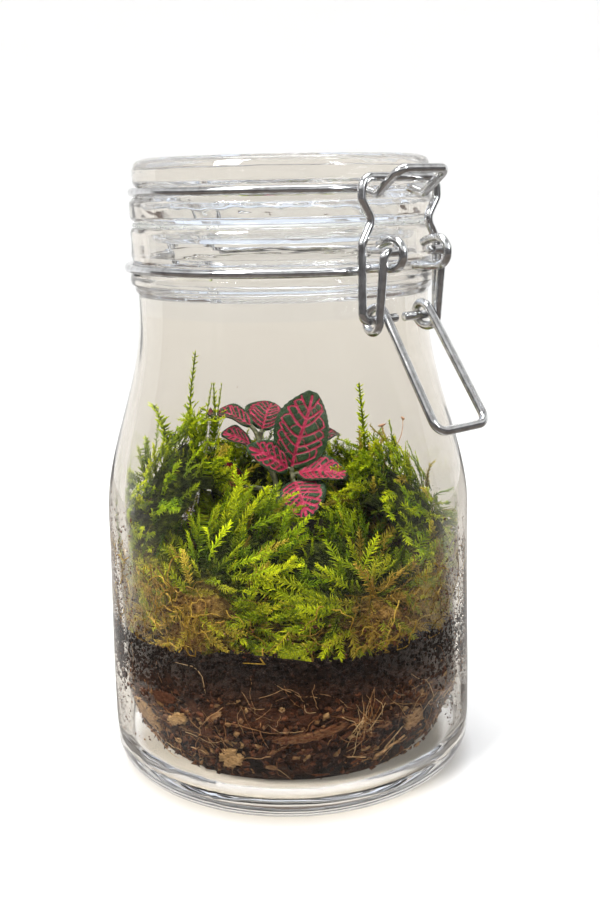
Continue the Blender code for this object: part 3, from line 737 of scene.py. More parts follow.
def lever_line():
    """The lever: hook in the eye, coil round the link's pin, and the handle's loop."""
    run = np.array(HANDLE_END) - np.array(LINK_PIVOT)
    handle_deg = math.degrees(math.atan2(run[1], run[0]))
    sweep_deg = np.radians(np.linspace(0, handle_deg + 90 - 360, 49))
    coil = [(ARM_X + (HANDLE_TOP_X - ARM_X) * float(smooth_step(i / 48)),
             -(LINK_PIVOT[0] + COIL_R * math.cos(a)), LINK_PIVOT[1] + COIL_R * math.sin(a))
            for i, a in enumerate(sweep_deg)]
    pivot_r, pivot_z = LEVER_PIVOT
    arm = bent([(HOOK_END_X, -pivot_r, pivot_z), (ARM_X, -pivot_r, pivot_z), coil[0]], 1.6)
    handle = bent([coil[-1], (HANDLE_END_X, -HANDLE_END[0], HANDLE_END[1]),
                   (0, -HANDLE_END[0], HANDLE_END[1])], 3.2)
    return whole(arm[:-1] + coil[:-1] + handle)


def link_line():
    """The link: pin in the lever's coil, pinched leg, and the bar behind the nose."""
    front, pin_z = LINK_PIVOT
    half = bent([(LINK_PIN_END_X, -front, pin_z), (LINK_LEG_X, -front, pin_z),
                 (LINK_LEG_X, -front, LINK_PINCH_Z - 5.9),
                 (LINK_PINCH_X, -front, LINK_PINCH_Z),
                 (LINK_LEG_X, -front, LINK_PINCH_Z + 5.4),
                 (LINK_LEG_X - 0.3, -front, LINK_BAR_Z), (0, -front, LINK_BAR_Z)],
                [2.2, 2.6, 2.8, 2.6, 3.4])
    return whole(half)


def build_wires(steel):
    """The four wires of the fitting, each a round tube with its ends cut off smooth."""
    for name, line, body, node in (
            ("neck_wire", neck_ring_line(), "jar", "neck_ring"),
            ("lid_wire", lid_ring_line(), "lid_assembly", "lid_ring"),
            ("lever_wire", lever_line(), "lever", "clasp_lever"),
            ("link_wire", link_line(), "link", "clasp_link")):
        line = refined(line, 2.5)
        start = line[0] + unit(line[1] - line[0]) * CUT_AT[:, None]
        stop = line[-1] + unit(line[-2] - line[-1]) * CUT_AT[::-1, None]
        points = np.concatenate([start, line[1:-1], stop])
        radii = np.full(len(points), WIRE_R)
        radii[:3] -= CUT_THIN
        radii[-3:] -= CUT_THIN[::-1]
        piece(name, Shape().add(*sweep(points, radii, 20)), steel, node, body,
              sharp_deg=50)


# ---------------------------------------------------------------- soil and litter
SOIL_EDGE_Z, SOIL_MOUND_Z = 49.5, 74.0
PEAT_LOW_Z, LITTER_TOP_Z = 36.0, 37.5
PRESSED = 0.75               # how far damp grains bed into the unevenness of the glass
COLUMNS = 240                # points round the soil's and the litter's surface
INSIDE_R = 52                # the jar's inside, near enough, to roll its wall out flat
SCRAP = np.array([(0, 0, 1), (0, 0, -1), (1, 0, 0), (-1, 0, 0), (0, 1, 0), (0, -1, 0)],
                 float)
SCRAP_TRIS = np.array([(0, 2, 4), (0, 4, 3), (0, 3, 5), (0, 5, 2), (1, 4, 2), (1, 3, 4),
                       (1, 5, 3), (1, 2, 5)])


def soil_height(r):
    """Height of the soil's surface: low at the glass, mounded round the plant."""
    rise = smooth_step((44.0 - np.asarray(r, float)) / 36.0)
    return SOIL_EDGE_Z + (SOIL_MOUND_Z - SOIL_EDGE_Z) * rise


def soil_edge(bearing):
    """How much higher or lower the soil meets the glass, round the jar."""
    return (2.2 * np.sin(bearing - 0.4) * 0.5 + 1.6 * np.sin(3 * bearing + 0.5)
            + 0.9 * np.sin(7 * bearing + 1.1) + 3.5 * smooth_step(np.cos(bearing - 0.15)))


def frame_of(direction, facing):
    """Three unit vectors: along, across and out, from a direction and a facing one."""
    along = unit(direction)
    across = unit(np.cross(np.broadcast_to(facing, along.shape), along))
    return along, across, np.cross(along, across)


def scatter_crumbs(shape, rng, places, outward, sizes, tones, flat=0.6):
    """Small irregular grains, each an octahedron pulled out of shape."""
    count = len(places)
    along, across, out = frame_of(unit(rng.normal(size=(count, 3))), outward)
    pull = 1 + rng.uniform(-0.45, 0.45, (count, 6, 1))
    local = SCRAP[None] * pull
    grains = (places[:, None] + sizes[:, None, None]
              * (local[..., :1] * along[:, None] + local[..., 1:2] * across[:, None] * 0.75
                 + local[..., 2:] * out[:, None] * flat))
    tris = (SCRAP_TRIS[None] + 6 * np.arange(count)[:, None, None]).reshape(-1, 3)
    shape.add(grains, tris, None, toned(np.repeat(tones, 6)))


def on_wall(bearing, z, inset):
    """Places just inside the glass; bearing 0 is the planting's right, 90 deg behind it."""
    return planted(polar(bed_radius(z) - inset, bearing, z))


def outward_at(bearing):
    return planted(polar(1.0, bearing, 0.0))


def bed_radius(z):
    """How far out the litter and soil reach: drawn in at the jar's thick round heel."""
    reach = np.interp(z, [7.0, 9.0, 14.0, 20.0, 25.0, 30.0, 34.0],
                      [41.5, 44.0, 47.2, 49.6, 51.4, 53.2, 54.2])
    return np.minimum(reach, inner_radius(z) + PRESSED)


def flat_spots(bearing, z):
    """The jar's wall rolled out flat, for noise that runs round it."""
    bearing = np.broadcast_to(bearing, z.shape)
    return np.stack([bearing * INSIDE_R, z, z * 0], -1)


def red_share(z):
    """How much red bark is mixed in the peat: more towards the litter under it."""
    return smooth_step((46.0 - z) / 9.0)


def build_soil(peat):
    """The peat bed, whose grains crowd against the glass."""
    rng = np.random.default_rng(11)
    bearing = circle(COLUMNS)
    z = (PEAT_LOW_Z + (SOIL_EDGE_Z + soil_edge(bearing) - PEAT_LOW_Z)[None]
         * np.linspace(0, 1, 30)[:, None])
    spots = flat_spots(bearing, z)
    rough = field(spots, 0.30, 3) + 0.6 * field(spots, 0.9, 9)
    rings = [polar(s, bearing, PEAT_LOW_Z) for s in np.linspace(0.5, 48, 6)]
    rings += list(polar(bed_radius(z) - 0.7 - 0.5 * np.abs(rough), bearing, z))
    for s in np.linspace(49, 0.5, 22):
        height = soil_height(s) + soil_edge(bearing) * smooth_step((s - 30) / 20)
        height = height + 1.1 * field(polar(s, bearing, height), 0.22, 5)
        rings.append(polar(s, bearing, height))
    rings = np.array(rings)
    red = 0.10 + 0.75 * red_share(rings[..., 2])
    shape = Shape().add(planted(rings), None, grid_quads(len(rings), COLUMNS, wrap=True),
                        toned(red))
    count = 5200
    b = rng.uniform(0, 2 * math.pi, count)
    high = SOIL_EDGE_Z + soil_edge(b) + 1.0
    z = PEAT_LOW_Z + 0.5 + (high - PEAT_LOW_Z - 0.5) * rng.uniform(0, 1, count)
    sizes = rng.uniform(0.28, 0.95, count)
    tones = np.clip(rng.normal(0.08, 0.25, count) + 0.6 * red_share(z), 0, 1)
    scatter_crumbs(shape, rng, on_wall(b, z, 0.7), outward_at(b), sizes, tones)
    piece("peat_bed", shape, peat, "soil")


def fibre(rng, b, z, heading, length, curl, steps=7):
    """A fine root or fibre that wanders along the inside of the glass (bearing, height)."""
    points = [(b, z)]
    step = length / steps
    for _ in range(steps):
        heading += rng.normal(0, curl)
        r = float(inner_radius(z))
        b, z = b + math.cos(heading) * step / r, z + math.sin(heading) * step
        z = max(z, FLOOR_Z + 1.5)
        points.append((b, z))
    return np.array(points)


def lay(shape, line, inset, size, thin, sides, data):
    """A fibre on the glass: its line, how deep it lies, its radius and how it thins."""
    shape.add(*sweep(on_wall(line[:, 0], line[:, 1], inset),
                     np.linspace(size, size * thin, len(line)), sides), data=data)


def build_litter(bark, strands):
    """The drainage litter: red-brown bed, shredded bark, dead leaf, and its loose fibres."""
    rng = np.random.default_rng(23)
    bearing = circle(COLUMNS)
    rings = [polar(s, bearing, FLOOR_Z + 0.9)
             for s in np.linspace(0.5, bed_radius(FLOOR_Z + 1.2) - 2.0, 7)]
    for z in np.linspace(FLOOR_Z + 1.4, LITTER_TOP_Z, 26):
        spots = flat_spots(bearing, np.full(COLUMNS, z))
        rough = np.abs(field(spots, 0.22, 7)) * 2.0 + np.abs(field(spots, 0.8, 2)) * 0.8
        rings.append(polar(bed_radius(z) - 1.6 - rough, bearing, z))
    rings = np.array(rings + [polar(s, bearing, LITTER_TOP_Z)
                              for s in np.linspace(46, 0.5, 5)])
    high = rings[..., 2]
    tone = np.clip(0.08 + 0.28 * field(flat_spots(bearing, high), 0.16, 1)
                   + 0.16 * smooth_step((high - 20) / 10), 0.0, 0.4)
    shape = Shape().add(planted(rings), None, grid_quads(len(rings), COLUMNS, wrap=True),
                        toned(tone))
    count = 2600
    b = rng.uniform(0, 2 * math.pi, count)
    z = 8.5 + 29.5 * rng.beta(1.6, 1.0, count)
    tones = rng.beta(1.2, 3.0, count)
    scatter_crumbs(shape, rng, on_wall(b, z, 0.9), outward_at(b),
                   rng.uniform(0.35, 1.5, count), tones, 0.35)
    for _ in range(340):
        b, z = rng.uniform(0, 2 * math.pi), 10.5 + 26 * rng.beta(1.5, 1.3)
        length, width = rng.uniform(1.6, 7.0), rng.uniform(0.6, 2.2)
        tone = rng.beta(1.3, 2.0)
        bark_flake(shape, rng, b, z, length, width, rng.uniform(-0.7, 0.7), tone, 5, 2,
                   rng.uniform(0.4, 1.1))
    piece("litter_bed", shape, bark, "litter_layer")
    shape = Shape()
    for _ in range(330):
        line = fibre(rng, rng.uniform(0, 2 * math.pi), 9 + 31 * rng.beta(1.6, 1.5),
                     rng.uniform(0, 2 * math.pi), rng.uniform(4, 17), 0.35)
        line[:, 1] = np.clip(line[:, 1], FLOOR_Z + 2.0, 46.0)
        lay(shape, line, rng.uniform(0.35, 0.8), rng.uniform(0.05, 0.15), 0.5, 4,
            (rng.beta(2.0, 1.6), 0, 0))
    piece("loose_fibres", shape, strands)


def bark_flake(shape, rng, bearing, height, length, width, rise, tone, along, across, inset,
               thick=0.8, ragged=0.22):
    """A flake pressed on the glass, a thin closed body: ragged outline, furrowed face."""
    uu, vv = np.meshgrid(np.linspace(-1, 1, along + 1), np.linspace(-1, 1, across + 1),
                         indexing="ij")
    ends = 1 + ragged * rng.normal(0, 0.5, across + 1)[None, :]
    sides = 1 + ragged * rng.normal(0, 0.6, along + 1)[:, None]
    run = length / 2 * uu * np.sqrt(1 - 0.35 * vv ** 2) * ends
    lift = width / 2 * vv * np.sqrt(np.maximum(1 - 0.55 * uu ** 2, 0.05)) * sides
    lift = lift + 0.10 * length * math.sin(rng.uniform(0, 6)) * (uu ** 2 - 0.4) * 0.5
    aside = run * math.cos(rise) - lift * math.sin(rise)
    z = np.clip(height + run * math.sin(rise) + lift * math.cos(rise), FLOOR_Z + 1.2, 200)
    furrow = rng.normal(0, 0.10, (1, across + 1)) + rng.normal(0, 0.06, uu.shape)
    skins = []
    for level in (0.0, thick):
        r = bed_radius(z) - inset - level - (np.abs(furrow) if level == 0 else 0)
        skins.append(polar(r, bearing + aside / r, z))
    skins = np.array(skins)
    mid = (skins[0] + skins[1]) / 2
    edge = (np.abs(uu) > 0.99) | (np.abs(vv) > 0.99)
    skins = np.where(edge[..., None], mid + (skins - mid) * 0.35, skins)
    tones = np.clip(tone + rng.normal(0, 0.05, 2 * uu.size), 0, 1)
    shape.add(planted(skins), None, sheet_faces(along + 1, across + 1, flip=True),
              toned(tones))


# name, bearing from the planting's front (deg), height, length, width, rise (deg), tone
BARK = [
    ("bark_strip", 6, 27.0, 20.0, 3.6, 13, 0.55),
    ("bark_chunk_left", -56, 24.0, 12.0, 9.0, -35, 0.85),
    ("bark_red_left", -42, 34.0, 9.5, 3.4, 4, 0.30),
    ("leaf_litter", -38, 28.0, 8.5, 3.6, 30, 1.0),
    ("bark_red_small", -27, 25.6, 4.4, 3.4, 10, 0.28),
    ("bark_tan_front", -21, 17.6, 7.5, 6.0, 40, 0.95),
    ("bark_tan_right", 43, 25.0, 7.0, 7.0, 20, 0.75),
    ("bark_back", 170, 26.0, 18.0, 5.0, 10, 0.55),
]
ROOTS_AT = (23, 27.5)        # the bundle's bearing and height, in the same way
# the twig and its forks: bearing in the same way, height, heading (deg), length, radius
# and tone
TWIG = [(30, 15.6, 28, 11, 0.42, 0.7), (33, 17.5, 55, 8, 0.2, 0.9),
        (26, 16.0, 160, 7, 0.2, 0.8)]
# middle bearing (deg, 0 to the right, 90 behind), spread (rad), count, lowest and highest
STUCK = [(194, 0.34, 900, 46, 92), (-14, 0.32, 1100, 40, 84), (192, 0.30, 420, 15, 46),
         (-12, 0.30, 420, 15, 46), (-80, 1.9, 240, 50, 62), (80, 1.9, 420, 48, 74),
         (-80, 1.4, 46, 70, 140)]


def build_bark(bark, strands):
    """The single flakes pressed on the glass, the bundle of roots and the twig."""
    rng = np.random.default_rng(31)
    for name, bearing, height, length, width, rise, tone in BARK:
        shape = Shape()
        bark_flake(shape, rng, math.radians(bearing - 90), height, length, width,
                   math.radians(rise), tone, 28, 10, 0.25, 1.3)
        piece(name + "_flake", shape, bark, name)
    shape = Shape()
    middle = math.radians(ROOTS_AT[0] - 90)
    for _ in range(26):
        b, z = middle + rng.normal(0, 0.020), ROOTS_AT[1] + rng.uniform(-3, 4)
        heading = rng.normal(math.pi / 2, 0.55) + (math.pi if rng.random() < 0.45 else 0)
        line = fibre(rng, b, z, heading, rng.uniform(4, 11), 0.25)
        lay(shape, line, rng.uniform(0.25, 0.7), rng.uniform(0.09, 0.22), 0.4, 5,
            (rng.uniform(0.35, 1.0), 0, 0))
    piece("root_tuft", shape, strands, "root_bundle")
    shape = Shape()
    for b, z, heading, length, size, tone in TWIG:
        line = fibre(rng, math.radians(b - 90), z, math.radians(heading), length, 0.10)
        lay(shape, line, 0.5, size, 0.6, 7, (tone, 0, 0))
    piece("twig_piece", shape, strands, "twig")
    build_wall_specks(bark)


def build_wall_specks(mat):
    """Grains of soil that stuck to the inside of the glass, above the bed and beside it."""
    rng = np.random.default_rng(47)
    shape = Shape()
    for middle, spread, count, low, high in STUCK:
        b = math.radians(middle) + rng.normal(0, spread * 0.6, count)
        z = low + (high - low) * rng.beta(1.0, 1.8, count)
        sizes = rng.uniform(0.12, 0.56, count) * np.where(rng.random(count) < 0.1, 1.6, 1)
        if high > 100:      # the few on the clear glass are finer
            sizes *= 0.5
        tones = 0.2 + 0.7 * rng.beta(1.0, 2.2, count)
        places = planted(polar(inner_radius(z) + 0.15, b, z))
        scatter_crumbs(shape, rng, places, outward_at(b), sizes, tones, 0.4)
    piece("stuck_grains", shape, mat)


# ---------------------------------------------------------------- moss
MOSS_IN_R, MOSS_OUT_R = 16.0, 50.6
MOSS_LOW_Z = 40.0            # nothing of the moss reaches lower
CORE_FOOT_Z = 47.0           # how far down a clump's dark core reaches at the glass
HEART_R, HEART_DEPTH = 46, 15.0  # where a clump's shoots lean away from, under its crest
OLD_LOW_Z, OLD_HIGH_Z = 49.0, 84.0  # where old wiry stems lie on the glass
EDGE_DROP = 0.16             # how much lower a clump is at its two sides
SPIRAL = 2.4                 # turn from one blade round a shoot to the next (rad)
# name, first and last bearing (deg, 0 to the right, 90 behind), crest height, crest radius
MOSS_CLUMPS = [
    ("moss_right", -30, 38, 96.0, 33.0),
    ("moss_back_right", 38, 92, 91.0, 30.0),
    ("moss_back_left", 92, 146, 93.0, 30.0),
    ("moss_left", 146, 214, 104.0, 34.0),
    ("moss_front_left", 214, 266, 83.0, 32.0),
    ("moss_front_right", 266, 330, 78.0, 32.0),
]


def moss_surface(r, share, crest_z, crest_r):
    """Height of a clump's surface at a radius and a share of its bearing range."""
    r = np.asarray(r, float)
    rising = 1 - ((crest_r - r) / (crest_r - MOSS_IN_R)) ** 2
    falling = np.sqrt(np.maximum(1 - ((r - crest_r) / (MOSS_OUT_R + 7 - crest_r)) ** 2, 0))
    dome = np.where(r < crest_r, rising, falling)
    edge = 1 - EDGE_DROP * (2 * share - 1) ** 2
    rise = np.maximum((crest_z - soil_height(crest_r)) * dome * edge, 3.0)
    return soil_height(r) + 0.6 + rise


def press_in(points, inset):
    """Points in the planting's frame, with those in the glass pressed back inside it."""
    r = np.hypot(points[..., 0], points[..., 1])
    most = inner_radius(np.clip(points[..., 2], 8, 139)) - inset
    scale = np.where(r > most, most / np.maximum(r, 1e-6), 1.0)
    out = points.copy()
    out[..., :2] *= scale[..., None]
    return out


def spindle(sides=3):
    """A thin pointed blade along +X of unit length and half width; returns verts, tris."""
    low = circle(sides)
    high = low + math.pi / sides
    verts = [(0.0, 0.55 * math.cos(a), 0.55 * math.sin(a)) for a in low]
    verts += [(0.5, math.cos(a), math.sin(a)) for a in high]
    verts += [(1.0, 0.0, 0.0), (-0.04, 0.0, 0.0)]
    tris = []
    for k in range(sides):
        a, b = k, (k + 1) % sides
        c, d = a + sides, b + sides
        tris += [(a, b, c), (b, d, c)]
    tris += [(sides + k, sides + (k + 1) % sides, 2 * sides) for k in range(sides)]
    tris += [(2 * sides + 1, (k + 1) % sides, k) for k in range(sides)]
    return np.array(verts), np.array(tris)


BLADE, BLADE_TRIS = spindle()
ALONG_BLADE = np.clip(BLADE[:, 0], 0, 1)


def joined(verts, tones):
    """A shoot from its blades' vertices and tones: verts, tris and tones."""
    tris = BLADE_TRIS[None] + len(BLADE) * np.arange(len(verts))[:, None, None]
    return np.concatenate(verts), tris.reshape(-1, 3), np.concatenate(tones)


def frond_template(rng, pairs):
    """A comb-like moss frond of unit length along +X, its comb in the XY plane."""
    sway = rng.normal(0, 0.10)
    droop = rng.uniform(0.04, 0.26)

    def spine(t):
        return np.array((t, sway * math.sin(2.4 * t), -droop * t * t))

    verts, tones = [], []

    def put(origin, direction, length, width, tone_low, tone_high, lift=0.0):
        along = unit(direction)
        across = unit(np.cross((0, 0, 1), along))
        out = np.cross(along, across)
        x, y, z = BLADE.T[..., None]
        verts.append(origin + along * x * length + across * y * width
                     + out * (z * width * 0.7 + lift * length * x ** 2))
        tones.append(tone_low + (tone_high - tone_low) * ALONG_BLADE)

    for k in range(5):
        t = k / 5
        step = spine(min(t + 0.24, 1.0)) - spine(t)
        put(spine(t), step, np.linalg.norm(step) * 1.05, 0.026 * (1.15 - 0.5 * t),
            0.30 + 0.4 * t, 0.45 + 0.4 * t)
    for k in range(pairs):
        t = 0.05 + 0.93 * (k + 0.4 * rng.random()) / pairs
        fullness = math.sin(math.pi * min(0.20 + 0.75 * t, 1)) ** 0.7
        for side in (1, -1):
            length = 0.20 * fullness * rng.uniform(0.75, 1.2)
            angle = math.radians(60 - 24 * t + rng.normal(0, 8))
            direction = (math.cos(angle), side * math.sin(angle), rng.normal(0.0, 0.25))
            put(spine(t + side * 0.012), direction, max(length, 0.04),
                0.0165 * rng.uniform(0.8, 1.25), 0.30 + 0.35 * t, 0.70 + 0.28 * t,
                rng.normal(-0.1, 0.25))
    return joined(verts, tones)


def tuft_template(rng, blades, reach):
    """An upright moss shoot along +X, its blades set all round it."""
    verts, tones = [], []
    x, y, z = BLADE.T[..., None]
    for k in range(blades):
        t = k / blades
        turn = SPIRAL * k
        lean = math.radians(rng.uniform(28, 62) * (1 - 0.5 * t))
        direction = np.array((math.cos(lean), math.sin(lean) * math.cos(turn),
                              math.sin(lean) * math.sin(turn)))
        across = unit(np.cross(direction, (0.2, 0.5, 0.84)))
        out = np.cross(direction, across)
        size = reach * (1 - 0.45 * t) * rng.uniform(0.8, 1.2)
        verts.append(np.array((t * 0.86, 0, 0)) + direction * x * size
                     + (across * y + out * z * 0.5) * 0.11 * reach)
        tones.append(0.3 + 0.45 * t + 0.35 * ALONG_BLADE)
    verts.append(BLADE * (1.0, 0.035, 0.035))
    tones.append(0.3 + 0.5 * ALONG_BLADE)
    return joined(verts, tones)


def place_fronds(shape, template, spots, along, facing, lengths, tones):
    """Copies of one frond, each with its foot at a spot and its comb facing outward."""
    verts, tris, tone = template
    along, across, out = frame_of(along, facing)
    local = verts[None] * lengths[:, None, None]
    placed = (spots[:, None] + local[..., :1] * along[:, None]
              + local[..., 1:2] * across[:, None] + local[..., 2:] * out[:, None])
    placed = press_in(placed, 0.5)
    placed[..., 2] = np.maximum(placed[..., 2], MOSS_LOW_Z)
    faces = tris[None] + len(verts) * np.arange(len(spots))[:, None, None]
    data = np.repeat(tones[:, None], len(verts), 1)
    data[..., 0] = np.clip(tone[None] + tones[:, :1], 0, 1)
    shape.add(planted(placed), faces.reshape(-1, 3), None, data.reshape(-1, 3))


def clump_points(rng, clump, count):
    """Random spots on a clump's surface with outward normals, evenly by area."""
    _, first, last, crest_z, crest_r = clump
    share = rng.uniform(-0.08, 1.08, count)
    bearing = np.radians(first + (last - first) * share)
    fine = np.linspace(MOSS_IN_R + 0.5, MOSS_OUT_R, 60)
    top = moss_surface(fine, 0.5, crest_z, crest_r)
    foot = SOIL_EDGE_Z - 1.0
    wall = np.linspace(top[-1], foot, 24)[1:]
    line = np.concatenate([np.stack([fine, top], -1),
                           np.stack([np.full(len(wall), MOSS_OUT_R), wall], -1)])
    step = np.linalg.norm(np.diff(line, axis=0), axis=1)
    weight = np.concatenate([[0], np.cumsum(step * (line[1:, 0] + 6))])
    pick = rng.uniform(0, weight[-1], count)
    r = np.interp(pick, weight, line[:, 0])
    z = np.interp(pick, weight, line[:, 1])
    slope = unit(np.gradient(line, axis=0))
    normal = unit(np.stack([-np.interp(pick, weight, slope[:, 1]),
                            np.interp(pick, weight, slope[:, 0])], -1))
    z = z - EDGE_DROP * (2 * share - 1) ** 2 * np.maximum(z - 52, 0)
    return polar(r, bearing, z), polar(normal[:, 0], bearing, normal[:, 1])


def moss_core(clump):
    """The dark mass under a clump's fronds; its material paints it near black as shade."""
    _, first, last, crest_z, crest_r = clump
    rows, columns = 26, 22
    share = np.linspace(-0.05, 1.05, columns)
    bearing = np.radians(first + (last - first) * share)
    radii = np.linspace(MOSS_IN_R + 1.5, MOSS_OUT_R - 1.0, rows - 10)
    grid = []
    for r in radii:
        z = moss_surface(r, share, crest_z, crest_r) - 7.0 - 2.0 * smooth_step((r - 30) / 15)
        grid.append(polar(r, bearing, z))
    top = z
    for k in range(1, 11):
        z = top + (CORE_FOOT_Z - top) * k / 10
        grid.append(polar(MOSS_OUT_R - 2.8 + 0.9 * math.sin(k * 0.3), bearing, z))
    grid = np.array(grid)
    lumps = 1.6 * field(grid, 0.13, 2) + 0.8 * field(grid, 0.4, 6)
    out = unit(grid * (1, 1, 0)) * 0.6 + (0, 0, 0.5)
    grid = press_in(grid + out * lumps[..., None], 0.7)
    return Shape().add(planted(grid), None, grid_quads(rows, columns)[:, ::-1],
                       toned(dead_share(grid))[:, ::-1])


def dead_share(p):
    """How brown the moss is: old growth low down against the glass, at the two sides."""
    side = np.abs(np.cos(np.arctan2(p[..., 1], p[..., 0])))
    low = smooth_step((78.0 - p[..., 2]) / 16.0)
    near = smooth_step((np.hypot(p[..., 0], p[..., 1]) - 40) / 8)
    return np.clip(low * near * (0.25 + 0.85 * smooth_step((side - 0.25) / 0.35)), 0, 1)


# per clump: fronds on top, upright shoots, and how much the fronds turn upwards
MOSS_COVER = {"moss_right": (230, 50, 0.4), "moss_back_right": (100, 34, 0.8),
              "moss_back_left": (100, 34, 0.8), "moss_left": (230, 60, 0.45),
              "moss_front_left": (180, 12, 0.25), "moss_front_right": (170, 10, 0.1)}
# the hollow in front of the lowest leaf: its middle, half width, depth from and to, foot
HOLLOW_SIDE, HOLLOW_HALF, HOLLOW_FRONT, HOLLOW_BACK, HOLLOW_LOW_Z = 6.0, 8.5, -41, -4, 62
LONG_SHOOT = 8               # shoots that may be longer than this keep out of the hollow


def grow(shape, rng, clump, template, count, lengths, tilts, sunk, light, gap, upward):
    """A layer of shoots on a clump, combed away from its heart, thin over its hollows:
    tilts from its surface, sunk below it, and none where the lumps are under the gap."""
    _, first, last, crest_z, _ = clump
    spots, normals = clump_points(rng, clump, count)
    lumps = field(spots, 0.16, 4) + 0.5 * field(spots, 0.34, 8)
    hollow = ((np.abs(spots[:, 0] - HOLLOW_SIDE) < HOLLOW_HALF)
              & (spots[:, 2] > HOLLOW_LOW_Z)
              & (spots[:, 1] > HOLLOW_FRONT) & (spots[:, 1] < HOLLOW_BACK))
    keep = (lumps > gap) & ~(hollow & (lengths[1] > LONG_SHOOT))
    spots, normals, lumps = spots[keep], normals[keep], lumps[keep]
    number = len(spots)
    middle = math.radians((first + last) / 2)
    heart = polar(HEART_R, middle, crest_z - HEART_DEPTH)
    away = unit(spots - heart) + unit(rng.normal(size=(number, 3))) * 0.75
    away = away + np.array((0, 0, upward)) * rng.uniform(0.2, 1.4, (number, 1))
    heading = unit(away - normals * (away * normals).sum(1, keepdims=True))
    along = unit(heading + normals * rng.uniform(*tilts, (number, 1)))
    spots = spots + normals * (2.2 * lumps[:, None] - rng.uniform(*sunk, (number, 1)))
    dead = np.clip(dead_share(spots) * rng.uniform(0.2, 1.5, number), 0, 1) ** 1.3
    dead = np.maximum(dead, 0.7 * (rng.random(number) < 0.07))
    # painted light and shade: shoots on raised lumps get a lighter tone, those in the hollows
    # a darker one
    tones = np.stack([rng.normal(light, 0.13, number) + 0.10 * np.clip(lumps, -1, 1),
                      np.clip(rng.normal(0.42, 0.28, number), 0, 1), dead], -1)
    place_fronds(shape, template, spots, along, normals, rng.uniform(*lengths, number),
                 tones)


def dead_strands(shape, rng, clump, count):
    """Old wiry stems that wander over the glass under the living moss."""
    for _ in range(count):
        line = fibre(rng, math.radians(rng.uniform(clump[1], clump[2])),
                     rng.uniform(50.0, 78.0), rng.uniform(0, 2 * math.pi),
                     rng.uniform(4, 13), 0.55, 8)
        line[:, 1] = np.clip(line[:, 1], OLD_LOW_Z, OLD_HIGH_Z)
        old = dead_share(polar(50.0, *line[4]))
        tone, size = rng.uniform(0.15, 1.0), rng.uniform(0.10, 0.26)
        inset = rng.uniform(0.4, 1.6)
        if old >= rng.uniform(0.1, 0.6):
            lay(shape, line, inset, size, 0.5, 4, (tone, 0.5, 1))


def build_moss(moss, core):
    rng = np.random.default_rng(5)
    combs = [frond_template(rng, pairs) for pairs in (14, 16, 18)]
    short_combs = [frond_template(rng, pairs) for pairs in (8, 10)]
    tufts = [tuft_template(rng, n, 0.24) for n in (16, 20)]
    sprays = [tuft_template(rng, n, 0.20) for n in (30, 38)]
    for clump in MOSS_CLUMPS:
        name = clump[0]
        piece(name + "_core", moss_core(clump), core)
        under, over = Shape(), Shape()
        top, upright, upward = MOSS_COVER[name]
        # painted shade: the under layers (light -0.32 and -0.12) are toned darker than the
        # top layers, for the shade deep in the clump
        for templates, shape, count, *layer in (
                (short_combs, under, 100, (6, 11), (0.2, 0.8), (2.0, 5.5), -0.32, -9, upward),
                (combs, over, top // 3, (9, 15), (0.15, 0.85), (0.5, 3.5), 0.05, -0.55,
                 upward),
                (tufts, under, 80, (4, 8), (0.8, 1.8), (1.0, 6.0), -0.12, -9, upward),
                (sprays, over, upright // 2, (7, 13), (0.3, 1.1), (1.0, 4.0), 0.02, -0.2,
                 upward + 1.0)):
            for template in templates:
                grow(shape, rng, clump, template, count, *layer)
        dead_strands(under, rng, clump, 150)
        piece(name + "_tufts", under, moss, smooth=False)
        piece(name + "_fronds", over, moss, name, smooth=False)
    build_shoots(moss, rng)


SHOOT_BLADES = 58
# name, foot (side, depth), lean (side, depth), length
MOSS_SHOOTS = [
    ("moss_shoot_tall_left", -31.0, 7.0, 3.4, 2.0, 22.0),
    ("moss_shoot_left", -25.4, 10.4, 4.0, 1.4, 15.0),
    ("moss_shoot_right", 24.6, 11.4, -1.2, 0.4, 20.5),
    ("moss_shoot_front", -36.0, -2.0, -4.6, 0.6, 9.5),
]


def moss_top(side, depth):
    """Height of the moss surface over a place in the planting."""
    r = math.hypot(side, depth)
    bearing = math.degrees(math.atan2(depth, side))
    for _, first, last, crest_z, crest_r in MOSS_CLUMPS:
        turn = (bearing - first) % 360
        if turn <= last - first:
            return float(moss_surface(r, turn / (last - first), crest_z, crest_r))
    return float(soil_height(r))


def build_shoots(moss, rng):
    """The long single shoots: a stalk with blades set round it in a spiral."""
    for name, side, depth, lean_side, lean_back, length in MOSS_SHOOTS:
        foot = moss_top(side, depth) - 3.0
        line = curved([(side, depth, foot),
                       (side + 0.3 * lean_side, depth + 0.3 * lean_back,
                        foot + 0.5 * length + 1.5),
                       (side + lean_side, depth + lean_back, foot + length + 3.0)], 12)
        t = np.linspace(0, 1, len(line))
        shape = Shape().add(*sweep(planted(line), 0.50 * (1 - 0.45 * t), 6),
                            data=(0.35, 0.5, 0.1))
        blades = SHOOT_BLADES
        at = np.arange(blades) / blades
        spine = np.stack([np.interp(at, t, line[:, i]) for i in range(3)], -1)
        turn = SPIRAL * np.arange(blades)
        lean = np.radians(rng.uniform(30, 72, blades))
        heading = unit(np.stack([np.sin(lean) * np.cos(turn) + 0.10 * lean_side / 4,
                                 np.sin(lean) * np.sin(turn), np.cos(lean)], -1))
        size = rng.uniform(2.4, 4.6, blades) * (1 - 0.5 * at)
        tones = np.stack([0.05 + 0.25 * at, np.full(blades, 0.35), 0 * at], -1)
        blade = (BLADE * (1.0, 0.13, 0.13), BLADE_TRIS, 0.35 + 0.5 * ALONG_BLADE)
        place_fronds(shape, blade, spine, heading, (0.3, -0.8, 0.5), size, tones)
        piece(name + "_stalk", shape, moss, name, smooth=False)


